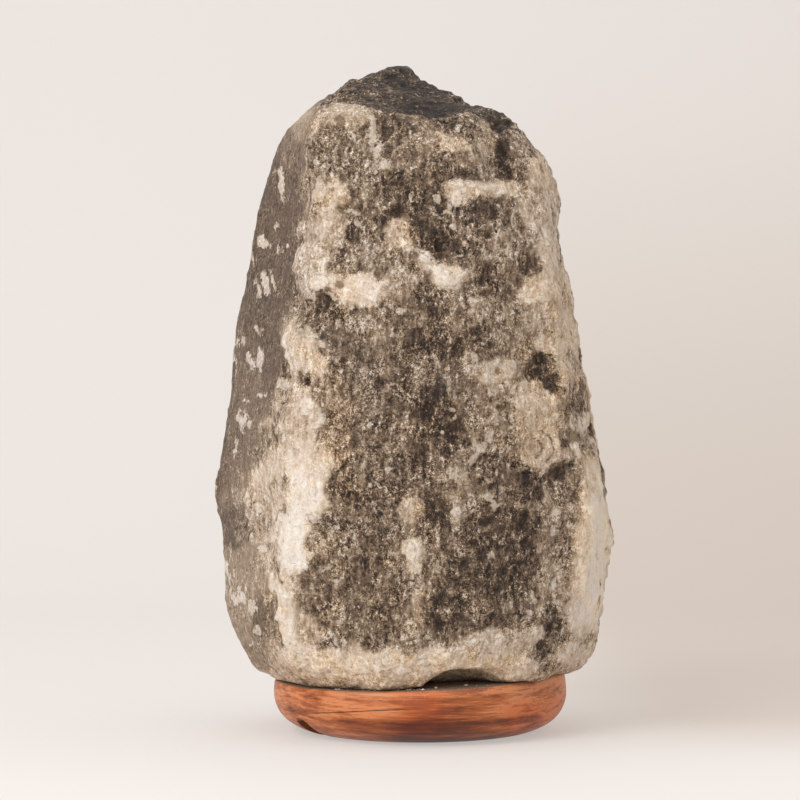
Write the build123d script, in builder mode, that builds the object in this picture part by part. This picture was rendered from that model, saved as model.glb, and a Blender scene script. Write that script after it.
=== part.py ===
from build123d import *
import os
from math import atan2, cos, degrees, hypot, radians, sin, tan

# Salt crystal lamp: a rough-hewn block of grey rock salt, screwed to a turned wooden base and lit
# from inside.
# The bulb stands in a bore in the block. Its holder is bolted to a round plate that two spring wings
# hold up in the base's bore, so holder and bulb pull out downwards together, and the bulb then unscrews.
#
# Frame: millimetres, +Z up, front towards -Y, origin on the base's turning axis, in the standing face.

# ---- driving dimensions --------------------------------------------------------------------------

BASE_DIAMETER = 125.0
BASE_HEIGHT = 24.4  # on the axis
BELLY_HEIGHT = 16.5  # where the base is widest
BELLY_RADIUS = 14.5  # of the rounding below the belly, which flattens out towards the foot
BELLY_ARC_ANGLE = 55.0
FOOT_DIAMETER = 85.0
TOP_RISE_TO_RIGHT = 2.0  # degrees: the base's top isn't quite parallel to its foot
TOP_RISE_TO_BACK = 1.0
RIM_ROUNDING = 2.0
UPPER_FLANK = (2.2, 13.0)  # how far it leans in, and up from the belly, before the top cuts it off
LAMP_BORE_DIAMETER = 46.0  # through the wood, for the holder and bulb
SALT_BORE_DIAMETER = 48.0
SALT_BORE_DEPTH = 104.0  # cylindrical part, above the wood
DRILL_POINT_ANGLE = 118.0
RECESS_DIAMETER = 57.0  # under the base, for the holder's plate and the cord's bend
RECESS_DEPTH = 12.0
GROOVE_WIDTH = 9.0
GROOVE_HEIGHT = 9.0
GROOVE_AZIMUTH = 213.0  # degrees from +X: out at the front left

SCREW_CIRCLE_DIAMETER = 72.0
SCREW_AZIMUTHS = (30.0, 150.0, 270.0)
SCREW_RADIUS = 2.2
SCREW_HEAD_RADIUS = 4.2
SCREW_LENGTH = 42.0
SCREW_SINK = 1.0  # head below the foot
SCREW_HEAD_ANGLE = 82.0
SCREW_POINT = 4.0
SCREW_HOLE_PLAY = 0.2
CROSS_RECESS = (4.0, 0.8, 1.2)  # length, width and depth of a slot in the head
PLUG_RADIUS = 4.0
PLUG_BOTTOM = 27.0
PLUG_LENGTH = 20.0
PLUG_HOLE_SPARE = 2.0  # how far the hole runs on over the plug

PLATE_RADIUS = 27.0
SHEET = 1.0  # the plate's thickness
LIP = 1.6  # how far the plate's edge is turned down
STRIP = 0.5  # the spring clip's thickness
STRIP_WIDTH = 9.0
REST_GAP = 0.1  # between the plate and the wood it is pushed up against
BRIDGE_REACH = 17.6  # half the length of the clip's flat middle
BRIDGE_RING = 3.0  # how wide the middle is round the nipple
RIVET_REACH = 15.3
RIVET_RADIUS = 0.8
RIVET_HEAD_RADIUS = 1.4
RIVET_HEAD = 0.5
NIPPLE_RADIUS = 5.0
NIPPLE_BORE_RADIUS = 3.4
CORD_HOLE_RADIUS = 2.6

CAP_RADIUS = 13.5  # lower half of the holder
SLEEVE_RADIUS = 12.8  # upper half
SLEEVE_TOP = 52.0
BULB_SEAT = 37.4  # height of the bulb's contact when it is screwed home
CAP_SCREW_RADIUS = 6.8  # the bulb's brass cap, plain here
SHELL_RADIUS = 7.1  # the holder's screw shell, inside
GLASS_RADIUS = 13.0
GLASS_WALL = 0.8

# ---- heights worked out from these ---------------------------------------------------------------

PLATE_TOP = RECESS_DEPTH - REST_GAP
PLATE_UNDERSIDE = PLATE_TOP - SHEET
BRIDGE_TOP = PLATE_TOP + STRIP
CAP_TOP = BRIDGE_TOP + 11.6
CARRIER_BOTTOM = CAP_TOP + 1.0
CARRIER_TOP = BULB_SEAT - 1.4

STANDING = (Align.CENTER, Align.CENTER, Align.MIN)
HANGING = (Align.CENTER, Align.CENTER, Align.MAX)
TOP = Plane.XY.offset(BASE_HEIGHT).rotated((TOP_RISE_TO_BACK, -TOP_RISE_TO_RIGHT, 0))

os.makedirs("parts", exist_ok=True)


def keep(piece, name):
    """Label a finished piece and write it as its own STEP file."""
    piece.part.label = name
    export_step(piece.part, f"parts/{name}.step")


def at_polar(radius, azimuth):
    """A point on a circle round the base's axis."""
    return (radius * cos(radians(azimuth)), radius * sin(radians(azimuth)))


SCREW_PLACES = [at_polar(SCREW_CIRCLE_DIAMETER / 2, azimuth) for azimuth in SCREW_AZIMUTHS]

# ---- salt block ----------------------------------------------------------------------------------

# The block's arrises, going round from the left-hand one, each as (height, to the right, to the back).
# Left and right make the outline seen from the front. left_front is the edge between two broad faces.
ARRISES = {
    "left": (
        (20, -64, 0), (24, -69.5, 0), (27, -72.3, 1), (33, -75.5, 2), (38, -78.5, 3), (46, -82.2, 4),
        (55, -84, 5), (87, -85.6, 8), (91, -87.7, 8), (98, -88.2, 8), (114, -87.3, 8), (127, -84.7, 8),
        (143, -82.2, 8), (160, -81, 6), (175, -79.6, 5), (188, -76, 4), (205, -73.1, 3), (222, -70, 2),
        (236, -65.8, 0), (249, -62, 0), (257, -57, 0), (264, -50, 2), (270, -43.5, 4), (275, -36, 5),
        (278, -32.6, 6), (281, -27.5, 6), (284, -13, 8),
    ),
    "left_front": (
        (20, -44, -36), (24, -48, -40), (28, -52, -44), (33, -55, -48), (46, -57.5, -52), (75, -56, -56),
        (98, -52, -60), (127, -54, -58), (160, -51, -57), (205, -42, -54), (236, -43, -51), (257, -44, -45),
        (262, -41.5, -40), (267, -38, -27), (278, -28, -8), (284, -14, 3),
    ),
    "front_left": (
        (20, -16, -56), (24, -16, -60), (28, -17, -63), (33, -17, -65), (50, -17, -67), (98, -15, -70),
        (160, -15, -67), (205, -14, -62), (240, -14, -55), (260, -14, -46), (267, -15, -31), (278, -14, -10),
        (284, -12, 0),
    ),
    "front_right": (
        (20, 24, -42), (24, 24, -49), (28, 25, -55), (33, 25, -59), (50, 26, -65), (98, 26, -68),
        (160, 24, -65), (205, 22, -60), (240, 22, -54), (256, 20, -47), (262, 17, -36), (272, 4, -16),
        (278, -2, -6), (284, -9, 1),
    ),
    "right_front": (
        (20, 42, -40), (24, 46, -43), (28, 53, -43), (33, 59, -42), (50, 67, -42), (98, 70, -43),
        (130, 63, -44), (160, 58, -44), (205, 52, -42), (245, 46, -38), (256, 38, -34), (262, 30, -27),
        (267, 22, -18), (272, 10, -10), (278, 2, -2), (284, -7, 4),
    ),
    "right": (
        (20, 62, 2), (24, 68, 2), (28, 72.5, 2), (33, 75, 2), (38, 77, 2), (46, 78.2, 2), (60, 80.5, 2),
        (83, 82.2, 2), (98, 81, 3), (114, 78.3, 4), (143, 73.2, 4), (160, 69.4, 4), (188, 65.1, 4),
        (205, 61.6, 4), (226, 59.2, 4), (236, 56.6, 4), (244, 54.7, 4), (249, 51.3, 4), (257, 42.2, 5),
        (260, 39, 6), (262, 35, 6), (264, 29.5, 7), (267, 26.7, 8), (270, 18, 9), (272, 11.8, 9),
        (275, 9, 9), (278, 4.1, 9), (281, -2.5, 9), (284, -8, 10),
    ),
    "right_back": (
        (20, 40, 38), (28, 54, 44), (50, 64, 53), (98, 67, 58), (160, 58, 56), (205, 50, 51), (245, 43, 42),
        (262, 30, 34), (272, 12, 28), (284, -7, 15),
    ),
    "back_right": (
        (20, 15, 50), (28, 17, 60), (50, 18, 68), (98, 20, 74), (160, 16, 71), (205, 10, 65), (245, 6, 54),
        (262, 2, 46), (272, -5, 36), (284, -10, 17),
    ),
    "back_left": (
        (20, -25, 49), (28, -29, 58), (50, -31, 67), (98, -32, 73), (160, -30, 69), (205, -26, 61),
        (245, -24, 50), (262, -22, 42), (272, -23, 32), (284, -13, 16),
    ),
    "left_back": (
        (20, -52, 32), (28, -63, 42), (50, -71, 48), (98, -75, 52), (160, -66, 50), (205, -57, 45),
        (245, -47, 38), (262, -39, 32), (272, -34, 24), (284, -14, 13),
    ),
}
SECTION_HEIGHTS = (
    20, 24, 28, 33, 38, 46, 55, 65, 75, 83, 87, 91, 98, 106, 114, 120, 127, 135, 143, 151, 160, 167, 175,
    181, 188, 196, 205, 213, 222, 229, 236, 244, 249, 257, 260, 262, 264, 267, 270, 272, 275, 278, 281, 284,
)
SIDE_PARTS = 3  # how many strips lie between two arrises
STRIP_BOW = 0.1  # how far the strips' edges stand out at least
LUMPS_END = 257  # the crown over this height has none
# Lumps and scars of the hewn faces in front and at the sides, each as (degrees round from the right-hand
# side, height, reach, how far it stands out). The front is at 270. None reaches the left and right edges,
# which make the outline.
FRONT_LUMPS = (
    # front, from the top down
    (236, 248, 16, 2.0), (262, 250, 14, -2.5), (285, 244, 16, 2.2), (301, 240, 12, -3.5),
    (318, 230, 16, 2.0), (232, 226, 14, 1.5), (256, 220, 18, -2.0), (284, 224, 13, 2.2),
    (293, 213, 12, -2.0), (317, 210, 16, 1.5), (224, 205, 18, 1.2), (245, 203, 15, 1.5),
    (278, 204, 13, -4.0), (303, 200, 14, 1.8), (246, 185, 16, 2.5), (274, 189, 13, 2.4),
    (294, 187, 14, -2.5), (316, 184, 16, 2.0), (228, 176, 14, -2.8), (233, 158, 14, 2.0),
    (270, 165, 19, -3.0), (296, 170, 12, 1.5), (249, 145, 18, 1.8), (286, 150, 14, 1.5),
    (314, 154, 13, -3.2), (331, 162, 14, 1.5), (226, 132, 18, 1.5), (258, 128, 17, -1.5),
    (277, 130, 14, -3.0), (298, 136, 12, 2.5), (314, 130, 16, 3.0), (331, 130, 14, -2.5),
    (224, 105, 20, 2.5), (250, 108, 16, -1.5), (270, 110, 15, -2.0), (296, 110, 15, -2.5),
    (316, 106, 15, -1.5), (208, 92, 16, -1.5), (228, 80, 18, 2.2), (250, 85, 19, -2.0),
    (269, 78, 14, 2.2), (292, 84, 18, -2.5), (312, 78, 17, -1.2), (331, 84, 16, 2.0),
    (217, 55, 16, 1.5), (238, 60, 18, -2.2), (270, 56, 14, 1.5), (292, 58, 18, -2.0),
    (312, 52, 15, 1.5), (327, 52, 14, -2.5),
    # the smooth side at the left
    (201, 238, 14, 1.0), (203, 212, 20, -1.5), (198, 176, 20, 1.2), (204, 132, 22, 1.5), (199, 64, 18, 1.2),
    # right side, from the bottom up, to the front and back of its edge
    (345, 50, 14, 1.6), (346, 76, 16, -2.2), (344, 104, 16, 2.2), (346, 132, 16, -2.0), (343, 160, 15, 2.2),
    (345, 188, 15, -2.0), (342, 216, 14, 1.8), (341, 238, 11, -1.4), (13, 78, 14, -1.8), (14, 122, 14, 2.0),
    (13, 146, 14, -1.8), (14, 190, 13, 2.0),
)
# The back is hewn all over alike, in rows of lumps and scars by turns.
BACK_LEVELS = range(46, 251, 29)
BACK_AZIMUTHS = (25, 155)  # from where to where a row runs
BACK_STEP = 26
BACK_REACH, REACH_CHANGE = 18.0, 2.0
BACK_BULGE, BULGE_CHANGE = 2.4, 0.6
SEAT_RADIUS = 63.0
OVERHANG_HEIGHT = 24.2  # where the block's underside is, outside the seat
# under the front edge, each as (to the right, to the back, height, radius)
HOLLOWS = ((16, -52, 12, 21), (27, -54, 23, 10))


def arris_at(arris, height):
    """Where an arris stands at a height, on the straight line between its two nearest points."""
    for low, high in zip(arris, arris[1:]):
        if low[0] <= height <= high[0]:
            share = (height - low[0]) / (high[0] - low[0])
            return tuple(low[i] + share * (high[i] - low[i]) for i in (1, 2))


def back_lumps():
    """Lumps and scars by turns, every other row half a step on, all a little unlike."""
    start, end = BACK_AZIMUTHS
    for row, level in enumerate(BACK_LEVELS):
        azimuth, place = start + BACK_STEP / 2 * (row % 2), row
        while azimuth <= end:
            reach = BACK_REACH + REACH_CHANGE * sin(5 * row + 3 * place)
            bulge = BACK_BULGE + BULGE_CHANGE * sin(7 * row + 4 * place)
            yield azimuth, level, reach, bulge if place % 2 else -bulge
            azimuth, place = azimuth + BACK_STEP, place + 1


LUMPS = (*FRONT_LUMPS, *back_lumps())


def hewn(x, y, height):
    """A point of the block's side, pushed out or in by the lumps and scars near it."""
    if height > LUMPS_END:
        return (x, y)
    radius, azimuth = hypot(x, y), degrees(atan2(y, x))
    push = 0
    for middle, level, reach, bulge in LUMPS:
        round_to = radians((azimuth - middle + 180) % 360 - 180) * radius
        nearness = max(0, 1 - (round_to**2 + (height - level) ** 2) / reach**2)
        push += bulge * nearness**2
    return (x * (1 + push / radius), y * (1 + push / radius))


def outline_at(height):
    """The block's outline at a height: its arrises, with the points of its strips between them."""
    corners = [arris_at(arris, height) for arris in ARRISES.values()]
    for (x0, y0), (x1, y1) in zip(corners, corners[1:] + corners[:1]):
        dx, dy = x1 - x0, y1 - y0
        bow = STRIP_BOW / hypot(dx, dy)
        yield hewn(x0, y0, height)
        for part in range(1, SIDE_PARTS):
            share = part / SIDE_PARTS
            yield hewn(x0 + share * dx + bow * dy, y0 + share * dy - bow * dx, height)


with BuildPart() as salt_crystal:
    for height in SECTION_HEIGHTS:
        with BuildSketch(Plane.XY.offset(height)):
            with BuildLine():
                Polyline(*outline_at(height), close=True)
            make_face()
    loft(ruled=True)
    # sat down flat on the base, with a little hanging over its rim
    with Locations(TOP):
        Cylinder(SEAT_RADIUS, BASE_HEIGHT, align=HANGING, mode=Mode.SUBTRACT)
    with BuildSketch():
        Circle(BASE_DIAMETER)
        Circle(SEAT_RADIUS - 1, mode=Mode.SUBTRACT)
    extrude(amount=OVERHANG_HEIGHT, mode=Mode.SUBTRACT)
    # hollow under the front edge, where the base's top shows
    for x, y, z, radius in HOLLOWS:
        with Locations((x, y, z)):
            Sphere(radius, mode=Mode.SUBTRACT)
    # the bore for bulb and holder, with the drill's point left at its end
    with BuildSketch(Plane.XZ):
        bore_radius = SALT_BORE_DIAMETER / 2
        bore_end = BASE_HEIGHT + SALT_BORE_DEPTH
        point = bore_radius / tan(radians(DRILL_POINT_ANGLE / 2))
        with BuildLine():
            Polyline((0, 0), (bore_radius, 0), (bore_radius, bore_end), (0, bore_end + point), close=True)
        make_face()
    revolve(axis=Axis.Z, mode=Mode.SUBTRACT)
    # three holes for the plugs
    with BuildSketch():
        with Locations(*SCREW_PLACES):
            Circle(PLUG_RADIUS)
    extrude(amount=PLUG_BOTTOM + PLUG_LENGTH + PLUG_HOLE_SPARE, mode=Mode.SUBTRACT)
keep(salt_crystal, "salt_crystal")

# ---- turned base ---------------------------------------------------------------------------------

with BuildPart() as wooden_base:
    with BuildSketch(Plane.XZ):
        foot, belly = FOOT_DIAMETER / 2, BASE_DIAMETER / 2
        bore, recess = LAMP_BORE_DIAMETER / 2, RECESS_DIAMETER / 2
        turn = radians(BELLY_ARC_ANGLE)
        with BuildLine():
            Line((recess, 0), (foot, 0))
            lower = TangentArc(
                (belly, BELLY_HEIGHT),
                (belly - BELLY_RADIUS * (1 - cos(turn)), BELLY_HEIGHT - BELLY_RADIUS * sin(turn)),
                tangent=(0, -1),
            )
            TangentArc(lower @ 1, (foot, 0), tangent=lower % 1)
            # the upper flank runs on past where the slanting top cuts it off
            lean, rise = UPPER_FLANK
            upper = TangentArc((belly, BELLY_HEIGHT), (belly - lean, BELLY_HEIGHT + rise), tangent=(0, 1))
            Polyline(
                upper @ 1, (bore, BELLY_HEIGHT + rise), (bore, RECESS_DEPTH), (recess, RECESS_DEPTH),
                (recess, 0),
            )
        make_face()
    revolve(axis=Axis.Z)
    split(bisect_by=TOP, keep=Keep.BOTTOM)
    rim = wooden_base.faces().sort_by(Axis.Z)[-1].outer_wire().edges()
    fillet(rim, RIM_ROUNDING)
    # the cord's groove, round at the top, from the recess out through the side
    along = Vector(*at_polar(1, GROOVE_AZIMUTH), 0)
    with BuildSketch(Plane(origin=along * (bore + 1), x_dir=Vector(0, 0, 1).cross(along), z_dir=along)):
        half = GROOVE_WIDTH / 2
        with BuildLine():
            Polyline((half, GROOVE_HEIGHT - half), (half, -1), (-half, -1), (-half, GROOVE_HEIGHT - half))
            ThreePointArc((-half, GROOVE_HEIGHT - half), (0, GROOVE_HEIGHT), (half, GROOVE_HEIGHT - half))
        make_face()
    extrude(amount=BASE_DIAMETER / 2, mode=Mode.SUBTRACT)
    # three countersunk screw holes from below
    with Locations(Plane.XY.rotated((180, 0, 0))):
        with Locations(*((x, -y) for x, y in SCREW_PLACES)):
            CounterSinkHole(
                radius=SCREW_RADIUS + SCREW_HOLE_PLAY,
                counter_sink_radius=SCREW_HEAD_RADIUS + SCREW_SINK * tan(radians(SCREW_HEAD_ANGLE / 2)),
                counter_sink_angle=SCREW_HEAD_ANGLE, depth=SCREW_LENGTH,
            )
keep(wooden_base, "wooden_base")

# ---- what holds the block to the base ------------------------------------------------------------

head_slope = tan(radians(SCREW_HEAD_ANGLE / 2))
head_height = (SCREW_HEAD_RADIUS - SCREW_RADIUS) / head_slope
with BuildPart() as base_screws:
    with BuildSketch(Plane.XZ):
        with BuildLine():
            Polyline(
                (0, SCREW_SINK), (SCREW_HEAD_RADIUS, SCREW_SINK), (SCREW_RADIUS, SCREW_SINK + head_height),
                (SCREW_RADIUS, SCREW_LENGTH - SCREW_POINT), (0, SCREW_LENGTH), close=True,
            )
        make_face()
    revolve(axis=Axis.Z)
    # slots of a cross recess in the head
    slot_length, slot_width, slot_depth = CROSS_RECESS
    with BuildSketch(Plane.XY.offset(SCREW_SINK)):
        Rectangle(slot_length, slot_width)
        Rectangle(slot_width, slot_length)
    extrude(amount=slot_depth, mode=Mode.SUBTRACT)
one_screw = base_screws.part
base_screws.part = Compound(children=[one_screw.moved(Location((x, y, 0))) for x, y in SCREW_PLACES])
keep(base_screws, "base_screws")

with BuildPart() as salt_plugs:
    with BuildSketch(Plane.XY.offset(PLUG_BOTTOM)):
        with Locations(*SCREW_PLACES):
            Circle(PLUG_RADIUS)
            Circle(SCREW_RADIUS, mode=Mode.SUBTRACT)
    extrude(amount=PLUG_LENGTH)
keep(salt_plugs, "salt_plugs")

# ---- the holder's plate and spring clip ----------------------------------------------------------

with BuildPart() as holder_plate:
    with BuildSketch(Plane.XZ):
        with BuildLine():
            Polyline(
                (NIPPLE_RADIUS, PLATE_UNDERSIDE), (PLATE_RADIUS - SHEET, PLATE_UNDERSIDE),
                (PLATE_RADIUS - SHEET, PLATE_UNDERSIDE - LIP), (PLATE_RADIUS, PLATE_UNDERSIDE - LIP),
                (PLATE_RADIUS, PLATE_TOP), (NIPPLE_RADIUS, PLATE_TOP), close=True,
            )
        make_face()
    revolve(axis=Axis.Z)
    fillet(holder_plate.edges().group_by(Axis.Z)[-1].sort_by(SortBy.RADIUS)[-1], 0.7 * SHEET)
    # holes for the clip's rivets
    with Locations((RIVET_REACH, 0, PLATE_UNDERSIDE), (-RIVET_REACH, 0, PLATE_UNDERSIDE)):
        Cylinder(RIVET_RADIUS, SHEET, align=STANDING, mode=Mode.SUBTRACT)
keep(holder_plate, "holder_plate")

with BuildPart() as clip_bridge:
    with BuildSketch(Plane.XY.offset(PLATE_TOP)):
        Rectangle(2 * BRIDGE_REACH, STRIP_WIDTH)
        Circle(NIPPLE_RADIUS, mode=Mode.SUBTRACT)
        with Locations((RIVET_REACH, 0), (-RIVET_REACH, 0)):
            Circle(RIVET_RADIUS, mode=Mode.SUBTRACT)
    extrude(amount=STRIP)
    # the strip widens round the nipple, so it isn't cut through
    with BuildSketch(Plane.XY.offset(PLATE_TOP)):
        Circle(NIPPLE_RADIUS + BRIDGE_RING)
        Circle(NIPPLE_RADIUS, mode=Mode.SUBTRACT)
    extrude(amount=STRIP)
keep(clip_bridge, "clip_bridge")

with BuildPart() as clip_rivets:
    for side in (-1, 1):
        with Locations((side * RIVET_REACH, 0, PLATE_UNDERSIDE)):
            Cylinder(RIVET_RADIUS, SHEET + STRIP, align=STANDING)
            Cylinder(RIVET_HEAD_RADIUS, RIVET_HEAD, align=HANGING)
        with Locations((side * RIVET_REACH, 0, BRIDGE_TOP)):
            Cylinder(RIVET_HEAD_RADIUS, RIVET_HEAD, align=STANDING)
keep(clip_rivets, "clip_rivets")

WING_GAP = 0.15
WING_FOOT_REACH = 17.3  # the wing flexes about this line, just over the bridge's end
WING_FOOT_HEIGHT = BRIDGE_TOP + WING_GAP
WING_FOOT = 2.0  # its upright start
KNEE = (22.48, BRIDGE_TOP + 9)  # before rounding: its corners stay 0.3 mm off the wooden bore
WAIST = (18.4, BRIDGE_TOP + 21)
TIP = (19.4, BRIDGE_TOP + 25)


def spring_wing(side):
    """One wing: up and out to a knee that presses on the bore, then in again to a turned-out tip."""
    with BuildPart() as wing:
        with BuildSketch(Plane.XZ):
            with BuildLine() as path:
                FilletPolyline(
                    (WING_FOOT_REACH, WING_FOOT_HEIGHT), (WING_FOOT_REACH, WING_FOOT_HEIGHT + WING_FOOT),
                    KNEE, WAIST, TIP, radius=(1.5, 4.0, 1.5),
                )
            trace(path.line, STRIP)
        extrude(amount=STRIP_WIDTH / 2, both=True)
    if side < 0:
        wing.part = wing.part.mirror(Plane.YZ)
    return wing


clip_wing_right = spring_wing(1)
keep(clip_wing_right, "clip_wing_right")
clip_wing_left = spring_wing(-1)
keep(clip_wing_left, "clip_wing_left")

# ---- the nipple that bolts the holder to the plate, and the cord's inlet -------------------------

NIPPLE_BOTTOM = 4.0
NIPPLE_TOP = 17.0
with BuildPart() as nipple:
    with BuildSketch(Plane.XY.offset(NIPPLE_BOTTOM)):
        Circle(NIPPLE_RADIUS)
        Circle(NIPPLE_BORE_RADIUS, mode=Mode.SUBTRACT)
    extrude(amount=NIPPLE_TOP - NIPPLE_BOTTOM)
keep(nipple, "nipple")

NUT_ACROSS_FLATS = 13.0
NUT_HEIGHT = 3.0
with BuildPart() as lock_nut:
    with BuildSketch(Plane.XY.offset(PLATE_UNDERSIDE - NUT_HEIGHT)):
        RegularPolygon(NUT_ACROSS_FLATS / 2, 6, major_radius=False)
        Circle(NIPPLE_RADIUS, mode=Mode.SUBTRACT)
    extrude(amount=NUT_HEIGHT)
keep(lock_nut, "lock_nut")

GROMMET_BOTTOM = 2.5
GROMMET_CHAMFER = 0.4
GROMMET_TOP = NIPPLE_BOTTOM + 4.0
with BuildPart() as cord_grommet:
    with BuildSketch(Plane.XZ):
        with BuildLine():
            Polyline(
                (CORD_HOLE_RADIUS, GROMMET_BOTTOM), (NIPPLE_RADIUS - GROMMET_CHAMFER, GROMMET_BOTTOM),
                (NIPPLE_RADIUS, GROMMET_BOTTOM + GROMMET_CHAMFER), (NIPPLE_RADIUS, NIPPLE_BOTTOM),
                (NIPPLE_BORE_RADIUS, NIPPLE_BOTTOM), (NIPPLE_BORE_RADIUS, GROMMET_TOP),
                (CORD_HOLE_RADIUS, GROMMET_TOP), close=True,
            )
        make_face()
    revolve(axis=Axis.Z)
keep(cord_grommet, "cord_grommet")

# ---- the bulb holder -----------------------------------------------------------------------------

CAP_WALL = 2.0
CAP_SHOULDER = (2.0, 3.0)  # how far the cap's lower edge is bevelled in, and up
CAP_FLOOR_RING = 3.0  # flat round the nipple
SPIGOT_RADIUS = CAP_RADIUS - CAP_WALL
with BuildPart() as holder_cap:
    with BuildSketch(Plane.XZ):
        with BuildLine():
            Polyline(
                (NIPPLE_RADIUS, BRIDGE_TOP), (CAP_RADIUS - CAP_SHOULDER[0], BRIDGE_TOP),
                (CAP_RADIUS, BRIDGE_TOP + CAP_SHOULDER[1]), (CAP_RADIUS, CAP_TOP), (SPIGOT_RADIUS, CAP_TOP),
                (SPIGOT_RADIUS, BRIDGE_TOP + CAP_SHOULDER[1] + 1),
                (NIPPLE_RADIUS + CAP_FLOOR_RING, BRIDGE_TOP + CAP_WALL),
                (NIPPLE_RADIUS, BRIDGE_TOP + CAP_WALL), close=True,
            )
        make_face()
    revolve(axis=Axis.Z)
keep(holder_cap, "holder_cap")

SLEEVE_BORE_RADIUS = 10.5
SPIGOT_BOTTOM = CAP_TOP - 4
SLEEVE_SHOULDER = (2.5, 6.0)  # how far the sleeve's upper edge is bevelled in, and down
MOUTH_RADIUS = SHELL_RADIUS + 0.6
MOUTH_DEPTH = 1.6  # wall over the screw shell
FLUTES = 16
FLUTE_RADIUS = 0.9
FLUTE_LENGTH = 16.0
with BuildPart() as holder_sleeve:
    with BuildSketch(Plane.XZ):
        with BuildLine():
            Polyline(
                (SLEEVE_BORE_RADIUS, SPIGOT_BOTTOM), (SPIGOT_RADIUS, SPIGOT_BOTTOM),
                (SPIGOT_RADIUS, CAP_TOP), (SLEEVE_RADIUS, CAP_TOP),
                (SLEEVE_RADIUS, SLEEVE_TOP - SLEEVE_SHOULDER[1]),
                (SLEEVE_RADIUS - SLEEVE_SHOULDER[0], SLEEVE_TOP), (MOUTH_RADIUS, SLEEVE_TOP),
                (MOUTH_RADIUS, SLEEVE_TOP - MOUTH_DEPTH),
                (SLEEVE_BORE_RADIUS - 1.5, SLEEVE_TOP - MOUTH_DEPTH),
                (SLEEVE_BORE_RADIUS, SLEEVE_TOP - SLEEVE_SHOULDER[1]), close=True,
            )
        make_face()
    revolve(axis=Axis.Z)
    # grip flutes
    with BuildSketch(Plane.XY.offset(CAP_TOP + 2)):
        with PolarLocations(SLEEVE_RADIUS + FLUTE_RADIUS / 3, FLUTES):
            Circle(FLUTE_RADIUS)
    extrude(amount=FLUTE_LENGTH, mode=Mode.SUBTRACT)
keep(holder_sleeve, "holder_sleeve")

TERMINAL = (4.4, 6.0, 6.0)
WIRE_HOLE_RADIUS = 1.1
CLAMP_RADIUS = 1.25  # of the clamping screw, which comes in from the front
CLAMP_LENGTH = 2.2
CLAMP_HEAD = (2.0, 0.8)  # radius and thickness
CLAMP_SLOT = (3.0, 1.4, 0.6)
TERMINAL_TOP = CARRIER_BOTTOM - 0.2
LEG_REACH = 6.0  # how far off the axis the terminals and the centre contact's leg are
LEG_WIDTH = 4.0
LEG_THICK = 0.4
SHELL_LEG_REACH = LEG_REACH + TERMINAL[0] / 2 + LEG_THICK / 2  # flat against the terminal's side
with BuildPart() as contact_carrier:
    with Locations((0, 0, CARRIER_BOTTOM)):
        Cylinder(SLEEVE_BORE_RADIUS, CARRIER_TOP - CARRIER_BOTTOM, align=STANDING)
    # slots for the contacts' legs
    with BuildSketch(Plane.XY.offset(CARRIER_BOTTOM)):
        with Locations((-LEG_REACH, 0)):
            Rectangle(LEG_THICK + 0.2, LEG_WIDTH + 0.2)
        with Locations((SHELL_LEG_REACH, 0)):
            Rectangle(LEG_THICK + 0.2, LEG_WIDTH + 0.2)
    extrude(amount=CARRIER_TOP - CARRIER_BOTTOM, mode=Mode.SUBTRACT)
keep(contact_carrier, "contact_carrier")

with BuildPart() as terminal_blocks:
    for x in (-LEG_REACH, LEG_REACH):
        with Locations((x, 0, TERMINAL_TOP - TERMINAL[2] / 2)):
            Box(*TERMINAL)
            with Locations((0, 0, -1)):
                Cylinder(WIRE_HOLE_RADIUS, TERMINAL[2] * 2, rotation=(0, 90, 0), mode=Mode.SUBTRACT)
            with Locations((0, -TERMINAL[1] / 2, -1)):
                Cylinder(CLAMP_RADIUS, 3.6, rotation=(90, 0, 0), mode=Mode.SUBTRACT)
keep(terminal_blocks, "terminal_blocks")

with BuildPart() as terminal_screws:
    for x in (-LEG_REACH, LEG_REACH):
        with Locations((x, -TERMINAL[1] / 2 - 0.6, TERMINAL_TOP - TERMINAL[2] / 2 - 1)):
            Cylinder(CLAMP_RADIUS, CLAMP_LENGTH, rotation=(90, 0, 0))
            with Locations((0, -CLAMP_LENGTH / 2 - CLAMP_HEAD[1] / 2, 0)):
                Cylinder(*CLAMP_HEAD, rotation=(90, 0, 0))
                Box(*CLAMP_SLOT, mode=Mode.SUBTRACT)
keep(terminal_screws, "terminal_screws")

with BuildPart() as centre_contact:
    # a leg up through the carrier and a tongue that arches up under the bulb's contact
    with BuildSketch(Plane.XZ):
        with BuildLine() as tongue:
            lying = CARRIER_TOP + LEG_THICK / 2 + 0.1
            crown = BULB_SEAT - LEG_THICK / 2 - 0.1
            FilletPolyline(
                (-LEG_REACH, TERMINAL_TOP), (-LEG_REACH, lying), (-4.2, lying), (-0.8, crown), (0.8, crown),
                (2.8, lying + 0.1), radius=(0.4, 0.8, 0.4, 0.4),
            )
        trace(tongue.line, LEG_THICK)
    extrude(amount=LEG_WIDTH / 2, both=True)
keep(centre_contact, "centre_contact")

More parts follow.
